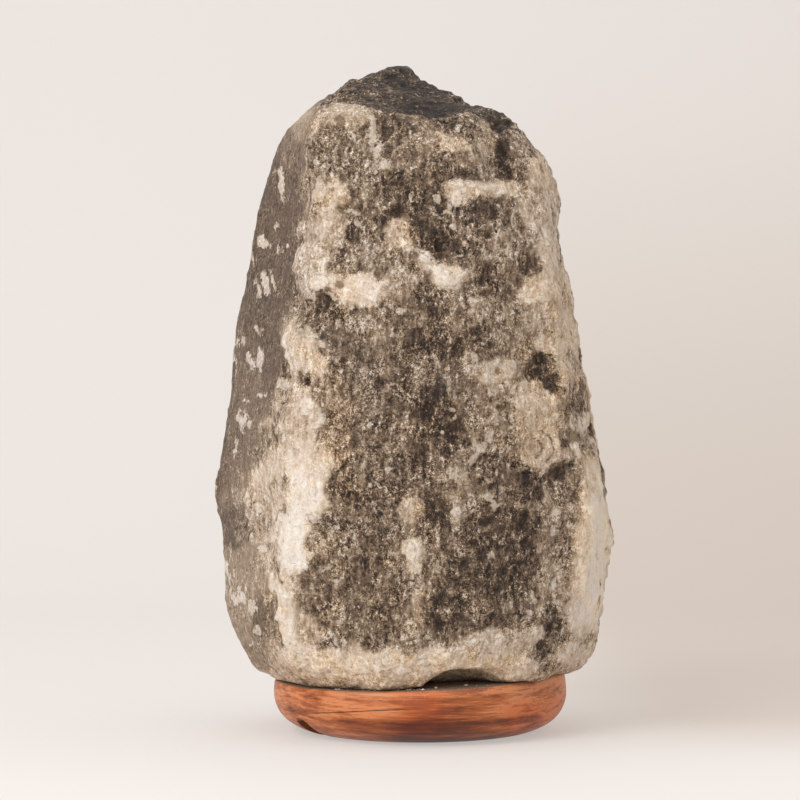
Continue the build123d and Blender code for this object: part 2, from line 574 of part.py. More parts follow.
SHELL_WALL = 0.4
SHELL_FLANGE = 2.4
SHELL_LEG_START = 1.0  # over the terminal's foot
SHELL_TOP = SLEEVE_TOP - 2.0
with BuildPart() as screw_shell:
    with BuildSketch(Plane.XZ):
        with BuildLine():
            Polyline(
                (SHELL_RADIUS, CARRIER_TOP), (SHELL_RADIUS + SHELL_FLANGE, CARRIER_TOP),
                (SHELL_RADIUS + SHELL_FLANGE, CARRIER_TOP + SHELL_WALL),
                (SHELL_RADIUS + SHELL_WALL, CARRIER_TOP + SHELL_WALL),
                (SHELL_RADIUS + SHELL_WALL, SHELL_TOP), (SHELL_RADIUS, SHELL_TOP), close=True,
            )
        make_face()
    revolve(axis=Axis.Z)
    # its leg down beside the terminal
    leg_bottom = TERMINAL_TOP - TERMINAL[2] + SHELL_LEG_START
    with Locations((SHELL_LEG_REACH, 0, leg_bottom)):
        Box(LEG_THICK, LEG_WIDTH, CARRIER_TOP + SHELL_WALL / 2 - leg_bottom, align=STANDING)
keep(screw_shell, "screw_shell")

# ---- the bulb ------------------------------------------------------------------------------------

EYELET_HEIGHT = 0.8
EYELET_RADIUS = 2.2
INSULATOR_RADIUS = 2.6  # where it meets the eyelet
CAP_FOOT_RADIUS = 5.4  # where it meets the cap
CAP_FOOT_BEVEL = 1.6
INSULATOR_HEIGHT = 2.2
BULB_CAP_BOTTOM = BULB_SEAT + EYELET_HEIGHT + INSULATOR_HEIGHT
BULB_CAP_TOP = 56.0
BULB_TOP = 94.0
CAP_METAL = 0.3

with BuildPart() as bulb_contact:
    with BuildSketch(Plane.XZ):
        with BuildLine():
            top = BULB_SEAT + EYELET_HEIGHT
            Line((0, top), (0, BULB_SEAT))
            ThreePointArc((0, BULB_SEAT), (1.3, BULB_SEAT + 0.15), (EYELET_RADIUS, top))
            Line((EYELET_RADIUS, top), (0, top))
        make_face()
    revolve(axis=Axis.Z)
keep(bulb_contact, "bulb_contact")

with BuildPart() as bulb_insulator:
    with BuildSketch(Plane.XZ):
        bottom = BULB_SEAT + EYELET_HEIGHT
        with BuildLine():
            Polyline(
                (0, bottom), (INSULATOR_RADIUS, bottom), (CAP_FOOT_RADIUS, BULB_CAP_BOTTOM),
                (0, BULB_CAP_BOTTOM), close=True,
            )
        make_face()
    revolve(axis=Axis.Z)
keep(bulb_insulator, "bulb_insulator")

with BuildPart() as bulb_cap:
    with BuildSketch(Plane.XZ):
        with BuildLine():
            Polyline(
                (0, BULB_CAP_BOTTOM), (CAP_FOOT_RADIUS, BULB_CAP_BOTTOM),
                (CAP_SCREW_RADIUS, BULB_CAP_BOTTOM + CAP_FOOT_BEVEL), (CAP_SCREW_RADIUS, BULB_CAP_TOP),
                (CAP_SCREW_RADIUS - CAP_METAL, BULB_CAP_TOP),
                (CAP_SCREW_RADIUS - CAP_METAL, BULB_CAP_BOTTOM + CAP_FOOT_BEVEL + 0.2),
                (CAP_FOOT_RADIUS - 0.2, BULB_CAP_BOTTOM + CAP_METAL), (0, BULB_CAP_BOTTOM + CAP_METAL),
                close=True,
            )
        make_face()
    revolve(axis=Axis.Z)
keep(bulb_cap, "bulb_cap")

NECK_RADIUS = CAP_SCREW_RADIUS - CAP_METAL
NECK_BOTTOM = BULB_CAP_TOP - 5
NECK_TOP = BULB_CAP_TOP + 1
BULGE_HEIGHT = BULB_TOP - GLASS_RADIUS
FLANK_ANGLE = 16.4  # between the pear's straight flank and the axis
with BuildPart() as bulb_glass:
    with BuildSketch(Plane.XZ):
        for wall in (0, GLASS_WALL):
            with BuildLine():
                radius = GLASS_RADIUS - wall
                flank_top = (
                    radius * cos(radians(FLANK_ANGLE)), BULGE_HEIGHT - radius * sin(radians(FLANK_ANGLE))
                )
                Polyline(
                    (0, BULGE_HEIGHT + radius), (0, NECK_BOTTOM), (NECK_RADIUS - wall, NECK_BOTTOM),
                    (NECK_RADIUS - wall, NECK_TOP), flank_top,
                )
                RadiusArc(flank_top, (0, BULGE_HEIGHT + radius), -radius)
            make_face(mode=Mode.SUBTRACT if wall else Mode.ADD)
    revolve(axis=Axis.Z)
keep(bulb_glass, "bulb_glass")

STEM_TOP = 71.0
STEM_FLARE = 5.0  # height of its flared foot
PINCH = (7.0, 2.4, 6.0)
with BuildPart() as bulb_stem:
    # the flared foot that closes the neck, its tube, and the flat pinch that grips the wires
    with BuildSketch(Plane.XZ):
        inside = NECK_RADIUS - GLASS_WALL
        with BuildLine():
            Polyline(
                (0, NECK_BOTTOM), (inside, NECK_BOTTOM), (inside, NECK_BOTTOM + GLASS_WALL),
                (2.6, NECK_BOTTOM + STEM_FLARE), (2.2, STEM_TOP - 5), (0, STEM_TOP - 5), close=True,
            )
        make_face()
    revolve(axis=Axis.Z)
    with Locations((0, 0, STEM_TOP)):
        Box(*PINCH, align=HANGING)
    fillet(bulb_stem.edges().filter_by(Axis.Z).group_by(SortBy.LENGTH)[-1], 0.9)
keep(bulb_stem, "bulb_stem")

WIRE_RADIUS = 0.3
WIRE_SPACING = 2.4  # of each wire from the axis, in the pinch
SUPPORT_RADIUS = 0.2
FILAMENT_REACH = 6.5
FILAMENT_HEIGHT = 80.0
FILAMENT_RADIUS = 0.45

with BuildPart() as lead_wires:
    for side in (-1, 1):
        with BuildLine() as route:
            FilletPolyline(
                (side * WIRE_SPACING, 0, STEM_TOP), (side * WIRE_SPACING, 0, STEM_TOP + 2.5),
                (side * FILAMENT_REACH, 0, FILAMENT_HEIGHT - 3),
                (side * FILAMENT_REACH, 0, FILAMENT_HEIGHT - FILAMENT_RADIUS),
                radius=1.0,
            )
        with BuildSketch(Plane(origin=route.line @ 0, z_dir=route.line % 0)):
            Circle(WIRE_RADIUS)
        sweep()
keep(lead_wires, "lead_wires")

FILAMENT_ARCH = 2.2
with BuildPart() as filament:
    with BuildLine() as arc:
        ThreePointArc(
            (-FILAMENT_REACH, 0, FILAMENT_HEIGHT), (0, 0, FILAMENT_HEIGHT + FILAMENT_ARCH),
            (FILAMENT_REACH, 0, FILAMENT_HEIGHT),
        )
    with BuildSketch(Plane(origin=arc.line @ 0, z_dir=arc.line % 0)):
        Circle(FILAMENT_RADIUS)
    sweep()
keep(filament, "filament")

with BuildPart() as support_wire:
    # a thin wire that holds the middle of the filament up from the stem
    with Locations((0, 0, STEM_TOP)):
        Cylinder(
            SUPPORT_RADIUS, FILAMENT_HEIGHT + FILAMENT_ARCH - FILAMENT_RADIUS - STEM_TOP, align=STANDING
        )
keep(support_wire, "support_wire")

for piece in (salt_crystal, wooden_base, holder_plate, holder_cap, holder_sleeve, bulb_cap, bulb_glass):
    print(piece.part.label, round(piece.part.volume / 1000, 1), "cm3")
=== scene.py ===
import math
import random
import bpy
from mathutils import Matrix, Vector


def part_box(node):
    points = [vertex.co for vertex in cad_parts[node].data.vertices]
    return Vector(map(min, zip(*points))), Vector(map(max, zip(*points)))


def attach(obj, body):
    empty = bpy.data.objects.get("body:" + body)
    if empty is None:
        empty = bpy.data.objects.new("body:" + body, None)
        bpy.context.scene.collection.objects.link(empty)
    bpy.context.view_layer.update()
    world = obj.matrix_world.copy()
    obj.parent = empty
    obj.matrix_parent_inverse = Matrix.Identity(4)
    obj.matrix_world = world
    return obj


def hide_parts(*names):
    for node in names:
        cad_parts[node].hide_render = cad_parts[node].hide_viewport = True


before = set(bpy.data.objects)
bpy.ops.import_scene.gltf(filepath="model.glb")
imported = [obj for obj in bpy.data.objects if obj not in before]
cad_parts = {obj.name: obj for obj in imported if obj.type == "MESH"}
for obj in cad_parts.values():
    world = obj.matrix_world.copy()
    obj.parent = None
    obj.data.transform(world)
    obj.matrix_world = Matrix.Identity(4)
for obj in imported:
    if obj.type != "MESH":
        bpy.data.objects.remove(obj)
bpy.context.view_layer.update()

from types import SimpleNamespace

import bpy
import numpy as np
from mathutils import Matrix, Vector, noise

bl_info = {
    "name": "Salt Crystal Lamp",
    "version": (1, 0, 0),
    "blender": (4, 5, 0),
    "location": "View3D > Sidebar > Salt Lamp",
    "description": "Dresses the salt crystal lamp: rock salt, turned wood, bulb, holder and a plain studio",
    "category": "Object",
}

MM = 0.001


# ---- sizes and colours a user would change ---------------------------------------------------------


def colour(name, default, description):
    """A colour property."""
    return bpy.props.FloatVectorProperty(
        name=name, description=description, subtype="COLOR", size=3, min=0, max=1, default=default
    )


def length(name, millimetres, description):
    """A length property, given in millimetres and kept in metres."""
    return bpy.props.FloatProperty(
        name=name, description=description, unit="LENGTH", min=0, default=millimetres * MM
    )


class SaltSettings(bpy.types.PropertyGroup):
    """Shape and colours of the block of rock salt."""

    grain: length("Mesh size", 2.18, "Size of the faces of the block's skin, halved at the front")
    lump: length("Lumps", 0.5, "How far broad lumps stand out of the skin")
    ledge: length("Ledges", 0.8, "Height of the broken layers' steps")
    chip: length("Chips", 0.9, "How far broken chips stand out of the skin")
    grit: length("Grit", 0.3, "How far single grains stand out of the skin")
    black: colour("Black", (0.02, 0.011, 0.006), "Colour of the deepest pits")
    dark: colour("Dark", (0.082, 0.05, 0.03), "Colour of the darkest salt")
    brown: colour("Brown", (0.208, 0.138, 0.088), "Colour of the brown-grey salt")
    tan: colour("Tan", (0.42, 0.3, 0.195), "Colour of the half clear salt")
    cream: colour("Cream", (0.7, 0.56, 0.43), "Colour of the pale veins and edges")
    white: colour("White", (0.93, 0.87, 0.8), "Colour of bruised white salt")


class WoodSettings(bpy.types.PropertyGroup):
    """Colours and grain of the turned base."""

    light: colour("Light", (0.66, 0.235, 0.088), "Colour of the palest streaks")
    middle: colour("Middle", (0.42, 0.115, 0.03), "Colour of most of the wood")
    deep: colour("Deep", (0.19, 0.04, 0.01), "Colour of the dark grain")
    # the pale painted sheen on the waxed shoulder, a painted reflection of the key light
    sheen: colour("Haze", (0.5, 0.3, 0.22), "Colour of the wax and salt haze on the shoulder")
    dust: colour("Dust", (0.2, 0.165, 0.12), "Colour of salt dust on the base's top")


class HardwareSettings(bpy.types.PropertyGroup):
    """Sizes of the rolled threads and the coiled wire."""

    bulb_pitch: length("Bulb thread pitch", 2.822, "How far the bulb rises in one turn")
    nipple_pitch: length("Nipple thread pitch", 1.0, "Pitch of the nipple's thread")
    coil_turns: bpy.props.IntProperty(
        name="Filament turns", description="Turns of the filament's coil", default=60, min=10, max=200
    )


class StageSettings(bpy.types.PropertyGroup):
    """Camera, lamps and floor."""

    distance: length("Camera distance", 1100, "From the base's axis to the camera")
    height: length("Camera height", 141, "Of the camera above the floor")
    aside: bpy.props.FloatProperty(
        name="Camera aside", description="How far the camera stands to the right of the axis",
        unit="LENGTH", default=-8.57 * MM,
    )
    lens: bpy.props.FloatProperty(
        name="Lens", description="Focal length on a 36 mm sensor", unit="CAMERA", default=115.55, min=10
    )
    key: bpy.props.FloatProperty(
        name="Key light", description="Power of the large soft light at the front left", unit="POWER",
        default=15.5, min=0,
    )
    fill: bpy.props.FloatProperty(
        name="Fill", description="Strength of the light from all around", default=0.62, min=0
    )
    floor: colour("Floor", (0.78, 0.74, 0.71), "Colour of the paper that the lamp stands on")
    wall: colour("Backdrop", (0.79, 0.76, 0.74), "Colour of the paper behind the lamp")
    near: colour("Pale floor", (0.96, 0.915, 0.885), "How pale the camera sees the paper in front")
    far: colour("Pale backdrop", (0.87, 0.82, 0.775), "How pale the camera sees the paper behind")


# ---- a small kit for materials ---------------------------------------------------------------------


class Wire:
    """A socket that works in arithmetic: each operation adds a Math node."""

    def __init__(self, finish, socket):
        self.finish = finish
        self.socket = socket

    def math(self, operation, *others):
        """This socket put through a Math node with others."""
        sockets = dict(enumerate((self, *others)))
        return self.finish.node("ShaderNodeMath", {"operation": operation}, sockets)

    def __add__(self, other):
        return self.math("ADD", other)

    def __sub__(self, other):
        return self.math("SUBTRACT", other)

    def __rsub__(self, other):
        return self.finish.node("ShaderNodeMath", {"operation": "SUBTRACT"}, {0: other, 1: self})

    def __mul__(self, other):
        return self.math("MULTIPLY", other)

    def __abs__(self):
        return self.math("ABSOLUTE")

    __radd__ = __add__
    __rmul__ = __mul__

    def ramp(self, low, high):
        """0 below low, 1 above high, and a smooth step between them."""
        return self.finish.node(
            "ShaderNodeMapRange", {"interpolation_type": "SMOOTHSTEP"},
            {"Value": self, "From Min": low, "From Max": high},
        )

    def above(self, other):
        """The larger of two."""
        return self.math("MAXIMUM", other)


class Finish:
    """A material, made node by node."""

    def __init__(self, name):
        self.material = bpy.data.materials.new(name)
        self.material.use_nodes = True
        self.tree = self.material.node_tree
        self.shader = self.tree.nodes["Principled BSDF"]
        self.place = self.node("ShaderNodeTexCoord", out="Object")

    def node(self, kind, settings=None, sockets=None, out=0):
        """A node of a kind, with its settings made first, then its sockets. Returns one output."""
        made = self.tree.nodes.new(kind)
        for key, value in (settings or {}).items():
            if key == "stops":
                # the two ends first, then what lies between them
                ramp = made.color_ramp.elements
                for index, (position, tone) in enumerate(value):
                    stop = ramp[index] if index < 2 else ramp.new(position)
                    stop.position = position
                    stop.color = (*tone, 1)
            else:
                setattr(made, key, value)
        for key, value in (sockets or {}).items():
            self.join(value, made.inputs[key])
        return Wire(self, made.outputs[out])

    def join(self, value, socket):
        """Links a wire to a socket, or sets the socket's own value."""
        if isinstance(value, Wire):
            self.tree.links.new(value.socket, socket)
        elif socket.type == "RGBA" and len(value) == 3:
            socket.default_value = (*value, 1)
        else:
            socket.default_value = value

    def noise(self, scale, detail=3.0, roughness=0.55, distortion=0.0, place=None, out="Fac"):
        """Soft cloudy noise. Scale is in cycles per metre."""
        return self.node(
            "ShaderNodeTexNoise", {},
            {
                "Vector": place or self.place, "Scale": scale, "Detail": detail, "Roughness": roughness,
                "Distortion": distortion,
            },
            out,
        )

    def cells(self, scale, place=None, out="Distance"):
        """Voronoi cells. Scale is in cells per metre."""
        sockets = {"Vector": place or self.place, "Scale": scale}
        return self.node("ShaderNodeTexVoronoi", {}, sockets, out)

    def mapped(self, scale=(1, 1, 1), turn=(0, 0, 0)):
        """Coordinates that are turned and stretched."""
        sockets = {"Vector": self.place, "Scale": scale, "Rotation": turn}
        return self.node("ShaderNodeMapping", {}, sockets)

    def mix(self, mask, first, second, blend="MIX"):
        """One colour laid over another where the mask is 1."""
        settings = {"data_type": "RGBA", "blend_type": blend}
        return self.node("ShaderNodeMix", settings, {0: mask, 6: first, 7: second}, 2)

    def tinted(self, mask, tone, tint):
        """A colour multiplied by a tint where the mask is 1."""
        return self.mix(mask, tone, self.mix(1.0, tone, tint, "MULTIPLY"))

    def field(self, name):
        """A number painted on the mesh's points."""
        return self.node("ShaderNodeAttribute", {"attribute_name": name}, out="Fac")

    def split(self, vector=None):
        """The three parts of a vector."""
        first = self.node("ShaderNodeSeparateXYZ", {}, {0: vector or self.place})
        return [Wire(self, socket) for socket in first.socket.node.outputs]

    def bump(self, height, distance, strength):
        """Relief from a height, in metres at height 1."""
        sockets = {"Height": height, "Distance": distance, "Strength": strength}
        return self.node("ShaderNodeBump", {}, sockets)

    def finish(self, **sockets):
        """Sets the Principled shader's sockets: base_color=..., roughness=... Returns the material."""
        for name, value in sockets.items():
            words = name.replace("_", " ").title().replace("Ior", "IOR")
            self.join(value, self.shader.inputs[words])
        return self.material


def dress(thing, material):
    """Gives an object one material all over."""
    thing.data.materials.clear()
    thing.data.materials.append(material)


def dress_nodes(finishes):
    """Gives CAD nodes their materials, from a table of both."""
    for node, material in finishes.items():
        dress(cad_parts[node], material)


def dimmed(tone, share):
    """A colour made darker."""
    return tuple(c * share for c in tone)


# ---- a small kit for shapes ------------------------------------------------------------------------


def pick(thing):
    """Makes one object the only selected and the active one."""
    bpy.ops.object.select_all(action="DESELECT")
    thing.select_set(True)
    bpy.context.view_layer.objects.active = thing


def copy_of_node(node, name):
    """A free copy of a CAD node, with its doubled points merged."""
    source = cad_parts[node]
    copy = bpy.data.objects.new(name, source.data.copy())
    bpy.context.scene.collection.objects.link(copy)
    pick(copy)
    bpy.ops.object.mode_set(mode="EDIT")
    bpy.ops.mesh.select_all(action="SELECT")
    bpy.ops.mesh.remove_doubles(threshold=0.01 * MM)
    bpy.ops.mesh.customdata_custom_splitnormals_clear()
    bpy.ops.object.mode_set(mode="OBJECT")
    return copy


def modify(thing, kind, **settings):
    """Adds a modifier to an object and applies it."""
    pick(thing)
    modifier = thing.modifiers.new(kind.title(), kind)
    for key, value in settings.items():
        setattr(modifier, key, value)
    bpy.ops.object.modifier_apply(modifier=modifier.name)


def settle(thing, body):
    """Puts a finished piece's place in its mesh, and hands it to the body that carries it."""
    pick(thing)
    bpy.ops.object.transform_apply(location=True, rotation=True, scale=True)
    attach(thing, body)


def points_of(mesh):
    """The mesh's points as an array."""
    points = np.empty(len(mesh.vertices) * 3)
    mesh.vertices.foreach_get("co", points)
    return points.reshape(-1, 3)


def normals_of(mesh):
    """The mesh's point normals as an array."""
    normals = np.empty(len(mesh.vertices) * 3)
    mesh.vertices.foreach_get("normal", normals)
    return normals.reshape(-1, 3)


def paint(mesh, name, values):
    """Stores a number on each of the mesh's points."""
    values = np.asarray(values, dtype=np.float32)
    mesh.attributes.new(name, "FLOAT", "POINT").data.foreach_set("value", values)


def step(values, low, high):
    """A smooth step of an array, 0 below low and 1 above high."""
    share = np.clip((values - low) / (high - low), 0, 1)
    return share * share * (3 - 2 * share)


def rough(points, size, octaves=2, seed=0.0):
    """Fractal noise at each point, about -1 to 1, for lumps of a size in metres."""
    shift = Vector((seed, seed * 1.7, -seed))
    return np.array([noise.fractal(Vector(p) / size + shift, 1.0, 2.0, octaves) for p in points])


# ---- the block of rock salt ------------------------------------------------------------------------

# The bore and the seat on the base, as the solid has them.
BORE_REACH = 25.5 * MM
BORE_TOP = 145 * MM
SEAT_HEIGHT = 24.4 * MM
SEAT_RISE_RIGHT = math.tan(math.radians(2.0))
SEAT_RISE_BACK = math.tan(math.radians(1.0))
OVERHANG_REACH = 62 * MM  # further out the block's foot hangs free

FRONT = 2 * MM  # in front of this the faces are halved
PICTURE_PLANE = 60 * MM  # in front of the axis
# On the picture plane, in millimetres: heights and the line right of which the smooth side ends, places
# across and the line over which the dark crown starts, and places across and the crown's tone there.
SIDE_EDGE = (
    (20, 45, 70, 100, 120, 150, 180, 210, 240, 262),
    (-60, -62, -64, -72, -66, -58, -52, -49, -46, -40),
)
CROWN_EDGE = (-60, -41, -20, -10, 5, 20, 28, 45), (262, 261.5, 260, 258.5, 256.5, 257.5, 255.5, 252)
CROWN_TONE = (-40, -20, -5, 30), (0.36, 0.24, 0.07, 0.2)
# Tones run from 0 for black to 1 for white: that of plain salt, and what a soft tone of 1 or -1 adds.
PLAIN_TONE, PALER_TONE, DARKER_TONE = 0.46, 0.33, 0.22
# Tones, and how light the salt is painted there, so that it looks as light as its tone under the lamps.
LIGHTER = (0.0, 0.25, 0.6, 0.8, 0.95), (-0.06, 0.17, 0.72, 0.88, 0.98)

# What the front shows, in millimetres right of the axis and above the floor, as it lies on an upright
# picture plane 60 mm in front of the axis: centre, half width, half height, lean to the right in
# degrees, strength.

# Soft tones, the later over the earlier: above 0 paler than the brown-grey salt, below 0 darker.
TONES = (
    # broad places
    (0, 33, 78, 9, 0, 0.5), (50, 120, 26, 110, 0, 0.1), (-66, 60, 20, 60, 0, 0.6),
    (-60, 190, 15, 80, 9, 0.2), (-46, 150, 6, 68, 5, 0.5),
    # places within them
    (-64, 205, 16, 70, -8, 0.0), (-45, 198, 5, 17, 6, 0.55), (-46, 252, 6, 8, -35, 0.55),
    (-30, 255, 13, 5, 0, 0.35), (-36, 245, 8, 7, 0, -0.15), (-25, 233, 7, 8, 0, 0.1),
    (-12, 250, 8, 8, 0, -0.5), (-10, 222, 12, 12, 0, -0.45), (-36, 224, 6, 7, 0, 0.5),
    (-37, 210, 7, 9, 0, 0.4), (-27, 208, 4, 5, 0, -0.5), (-22, 203, 7, 7, 0, 0.05),
    (-7, 208, 8, 8, 0, 0.4), (-10, 197, 12, 5, 0, -0.1), (-36, 186, 9, 7, 0, 0.65),
    (-25, 185, 11, 8, 0, 0.8), (-9, 189, 7, 7, 0, 0.25), (-40, 178, 7, 9, 25, -0.35),
    (-34, 164, 8, 8, 0, -0.2), (-30, 157, 9, 5, -25, -0.3), (-52, 162, 5, 14, -8, 0.8),
    (-44, 158, 8, 9, 0, 0.62), (-50, 143, 9, 9, 0, 0.6), (-47, 150, 4, 4, 0, -0.1),
    (-36, 143, 9, 8, 0, 0.15), (-28, 141, 8, 7, 0, -0.15), (-50, 130, 11, 9, 0, 0.55),
    (-34, 124, 6, 14, 0, 0.1), (-50, 112, 16, 13, -12, 0.8), (-46, 104, 9, 11, 0, 1.15),
    (-66, 110, 3, 7, -12, 0.9), (-56, 105, 4, 6, 0, 0.3), (-30, 107, 8, 8, 0, -0.25),
    (-20, 140, 8, 14, 0, -0.05), (-12, 150, 8, 11, 0, -0.4), (-10, 125, 14, 16, 0, -0.3),
    (-16, 98, 14, 14, 0, -0.5), (-76, 90, 6, 10, -10, 0.05), (-68, 92, 8, 9, 0, 0.35),
    (-52, 93, 8, 12, 0, 1.0), (-51, 90, 5, 10, 6, 1.3), (-53, 79, 9, 9, 0, 1.3),
    (-66, 78, 8, 10, 0, 0.5), (-58, 65, 5, 7, -8, 1.1), (-55, 50, 4.5, 10, -8, 1.1),
    (-50, 38, 7, 6, 0, 1.1), (-64, 53, 6, 10, -10, 0.1), (-66, 38, 9, 7, 0, 0.35),
    (-40, 82, 7, 7, 0, 0.1), (-40, 62, 10, 12, 0, -0.1), (-45, 48, 7, 6, 0, 0.4),
    (-38, 50, 5, 3, 0, -0.35), (-36, 34, 18, 6, 4, 0.7), (-20, 62, 12, 24, 0, -0.35),
    (-14, 84, 12, 14, 0, -0.35), (-12, 35, 16, 6, 0, 0.7), (-4, 79, 5, 8, 0, 0.75),
    (-11, 75, 5, 3, 0, -0.1), (-4, 98, 5, 8, 0, 0.35), (0, 58, 4, 10, 0, 0.4), (5, 35, 15, 5, 0, 0.75),
    (-4, 45, 5, 8, 0, 0.2), (0, 262, 12, 5, 0, -0.9), (20, 258, 8, 4, 10, -0.1),
    (9, 253, 12, 4, 8, -0.35), (12, 245, 9, 4, 22, 0.45), (3, 243, 6, 6, 0, 0.05),
    (17, 233, 7, 3, 4, -0.5), (6, 234, 10, 5, 0, -0.3), (16, 226, 8, 5, 0, 0.6),
    (29, 226, 12, 4, 0, 0.6), (24, 217, 9, 5, 0, -0.45), (3, 216, 9, 13, 0, -0.6),
    (34, 240, 4, 10, 0, -0.85), (33, 252, 5, 3, 15, -0.9), (28, 246, 4, 8, 0, 0.25),
    (48, 233, 5, 9, 0, 0.45), (46, 219, 9, 10, 0, 0.35), (52, 205, 6, 12, 0, 0.25),
    (44, 196, 5, 5, 0, -0.35), (36, 212, 4, 12, 0, -0.05), (32, 200, 5, 9, 12, 0.25),
    (8, 205, 7, 7, 0, -0.9), (14, 200, 5, 6, 0, -0.45), (2, 198, 4, 5, 0, 0.7),
    (11, 191, 8, 5, 0, 0.85), (27, 190, 6, 8, 0, -0.55), (36, 186, 6, 6, 0, 0.0),
    (47, 184, 7, 7, 0, 0.5), (57, 188, 3, 8, -8, 0.35), (3, 180, 9, 8, 0, -0.45),
    (3, 164, 11, 9, 0, -0.6), (10, 162, 8, 6, 0, -0.75), (22, 169, 6, 5, 0, -0.55),
    (28, 162, 5, 4, 0, -0.4), (24, 178, 5, 6, 0, 0.25), (52, 175, 9, 7, 0, 0.35),
    (48, 155, 5, 6, 15, -0.75), (53, 147, 3, 4, 10, -0.7), (52, 163, 6, 4, 30, 0.6),
    (60, 165, 5, 5, 0, 0.2), (30, 153, 9, 5, 0, 0.45), (11, 148, 8, 6, 0, 0.05),
    (5, 137, 8, 13, 0, -0.75), (12, 127, 7, 9, 0, -0.7), (3, 118, 10, 9, 0, -0.6),
    (33, 143, 6, 6, 0, 0.25), (33, 134, 7, 12, 0, 0.05), (48, 133, 9, 15, 0, 0.45),
    (49, 119, 11, 8, 0, 0.4), (41, 141, 3, 10, 14, 0.45), (62, 149, 5, 6, 0, 0.25),
    (64, 140, 5, 8, 0, -0.45), (63, 125, 6, 5, 0, -0.6), (30, 112, 11, 7, 0, -0.35),
    (42, 106, 9, 8, 30, -0.6), (56, 111, 5, 6, 35, -0.55), (14, 110, 6, 4, 0, 0.25),
    (2, 106, 9, 6, 0, -0.25), (60, 104, 6, 6, 0, -0.2), (68, 108, 4, 10, 0, 0.45),
    (7, 95, 6, 8, 0, -0.6), (14, 95, 4, 6, 0, 0.3), (27, 88, 11, 12, 0, -0.6),
    (40, 84, 11, 14, 0, -0.7), (20, 72, 12, 10, 0, -0.6), (36, 70, 14, 10, 0, -0.65),
    (15, 55, 14, 11, 0, -0.6), (30, 58, 12, 9, 0, -0.5), (54, 82, 6, 14, 0, 0.1),
    (57, 68, 5, 10, 0, 0.15), (68, 84, 6, 22, 4, 0.8), (70, 78, 2.4, 10, 6, 1.0),
    (65, 58, 6, 14, 10, 0.7), (67, 58, 2.4, 9, 10, 0.95), (74, 60, 2.4, 10, 8, -0.5),
    (39, 57, 5, 4, 0, -0.3), (53, 51, 4, 7, -12, -0.5), (47, 38, 6, 6, 0, -0.2),
    (31, 42, 16, 6, 0, 0.45), (36, 34, 13, 5, 0, 0.6), (46, 47, 4, 4, 0, 0.55), (60, 38, 8, 5, 0, 0.4),
    (70, 37, 5, 6, 0, 0.4), (5, 88, 7, 4, 0, -0.2),
    # the bright right-hand edge: pale salt, painted lighter still as painted light where the side turned
    # from the key light falls into shade
    (73, 98, 4.5, 26, 2, 1.1), (71, 60, 5, 18, -6, 1), (64, 128, 3, 12, 8, 0.6),
    (58, 166, 3, 18, 6, 0.5), (52, 206, 4, 26, 6, 0.5),
)
# Warmth: above 0 tan and ochre, below 0 a cool lilac grey.
WARMTHS = (
    (72, 90, 9, 52, 0, 0.8), (58, 170, 9, 45, 6, 0.6), (0, 31, 72, 9, 0, 0.7),
    (-60, 45, 14, 14, 0, 0.4), (-26, 60, 20, 22, 0, 0.3), (40, 140, 14, 30, 0, 0.4),
    (-36, 222, 8, 9, 0, 0.6), (-7, 208, 8, 8, 0, 0.5), (-27, 186, 9, 7, 0, 0.25),
    (-44, 158, 7, 9, 0, 0.4), (-30, 143, 12, 9, 0, 0.6), (-34, 124, 7, 16, 0, 0.6),
    (-30, 104, 8, 8, 0, 0.6), (-40, 80, 7, 8, 0, 0.6), (-44, 49, 7, 6, 0, 0.6), (-38, 60, 8, 8, 0, 0.4),
    (-64, 50, 6, 14, 0, 0.5), (-14, 250, 8, 8, 0, 0.3), (-3, 98, 5, 8, 0, 0.6), (0, 56, 4, 10, 0, 0.6),
    (48, 130, 10, 18, 0, 0.7), (48, 232, 5, 9, 0, 0.6), (46, 186, 7, 7, 0, 0.6),
    (12, 245, 9, 4, 22, 0.4), (68, 86, 6, 26, 0, 0.6), (33, 145, 6, 6, 0, 0.4), (62, 150, 4, 6, 0, 0.6),
    (27, 226, 10, 4, 0, 0.4), (-45, 252, 5, 7, 0, 0.4), (0, 130, 8, 12, 0, 0.3),
    (-46, 198, 6, 17, 0, -0.6), (-25, 233, 7, 8, 0, -0.7), (-22, 203, 7, 7, 0, -0.6),
    (-37, 165, 6, 8, 0, -0.7), (-24, 155, 7, 12, 0, -0.6), (-20, 138, 6, 10, 0, -0.5),
    (-66, 157, 3, 8, 0, -0.6), (-63, 187, 4, 9, 0, -0.5), (18, 217, 6, 5, 0, -0.7),
    (20, 232, 8, 4, 0, -0.6), (11, 148, 7, 6, 0, -0.6), (39, 57, 6, 6, 0, -0.6),
    (53, 50, 5, 8, 0, -0.7), (47, 38, 6, 6, 0, -0.5), (63, 125, 6, 5, 0, -0.4),
    (-74, 90, 8, 10, 0, -0.4), (14, 95, 5, 6, 0, -0.4), (56, 84, 5, 12, 0, -0.3),
)
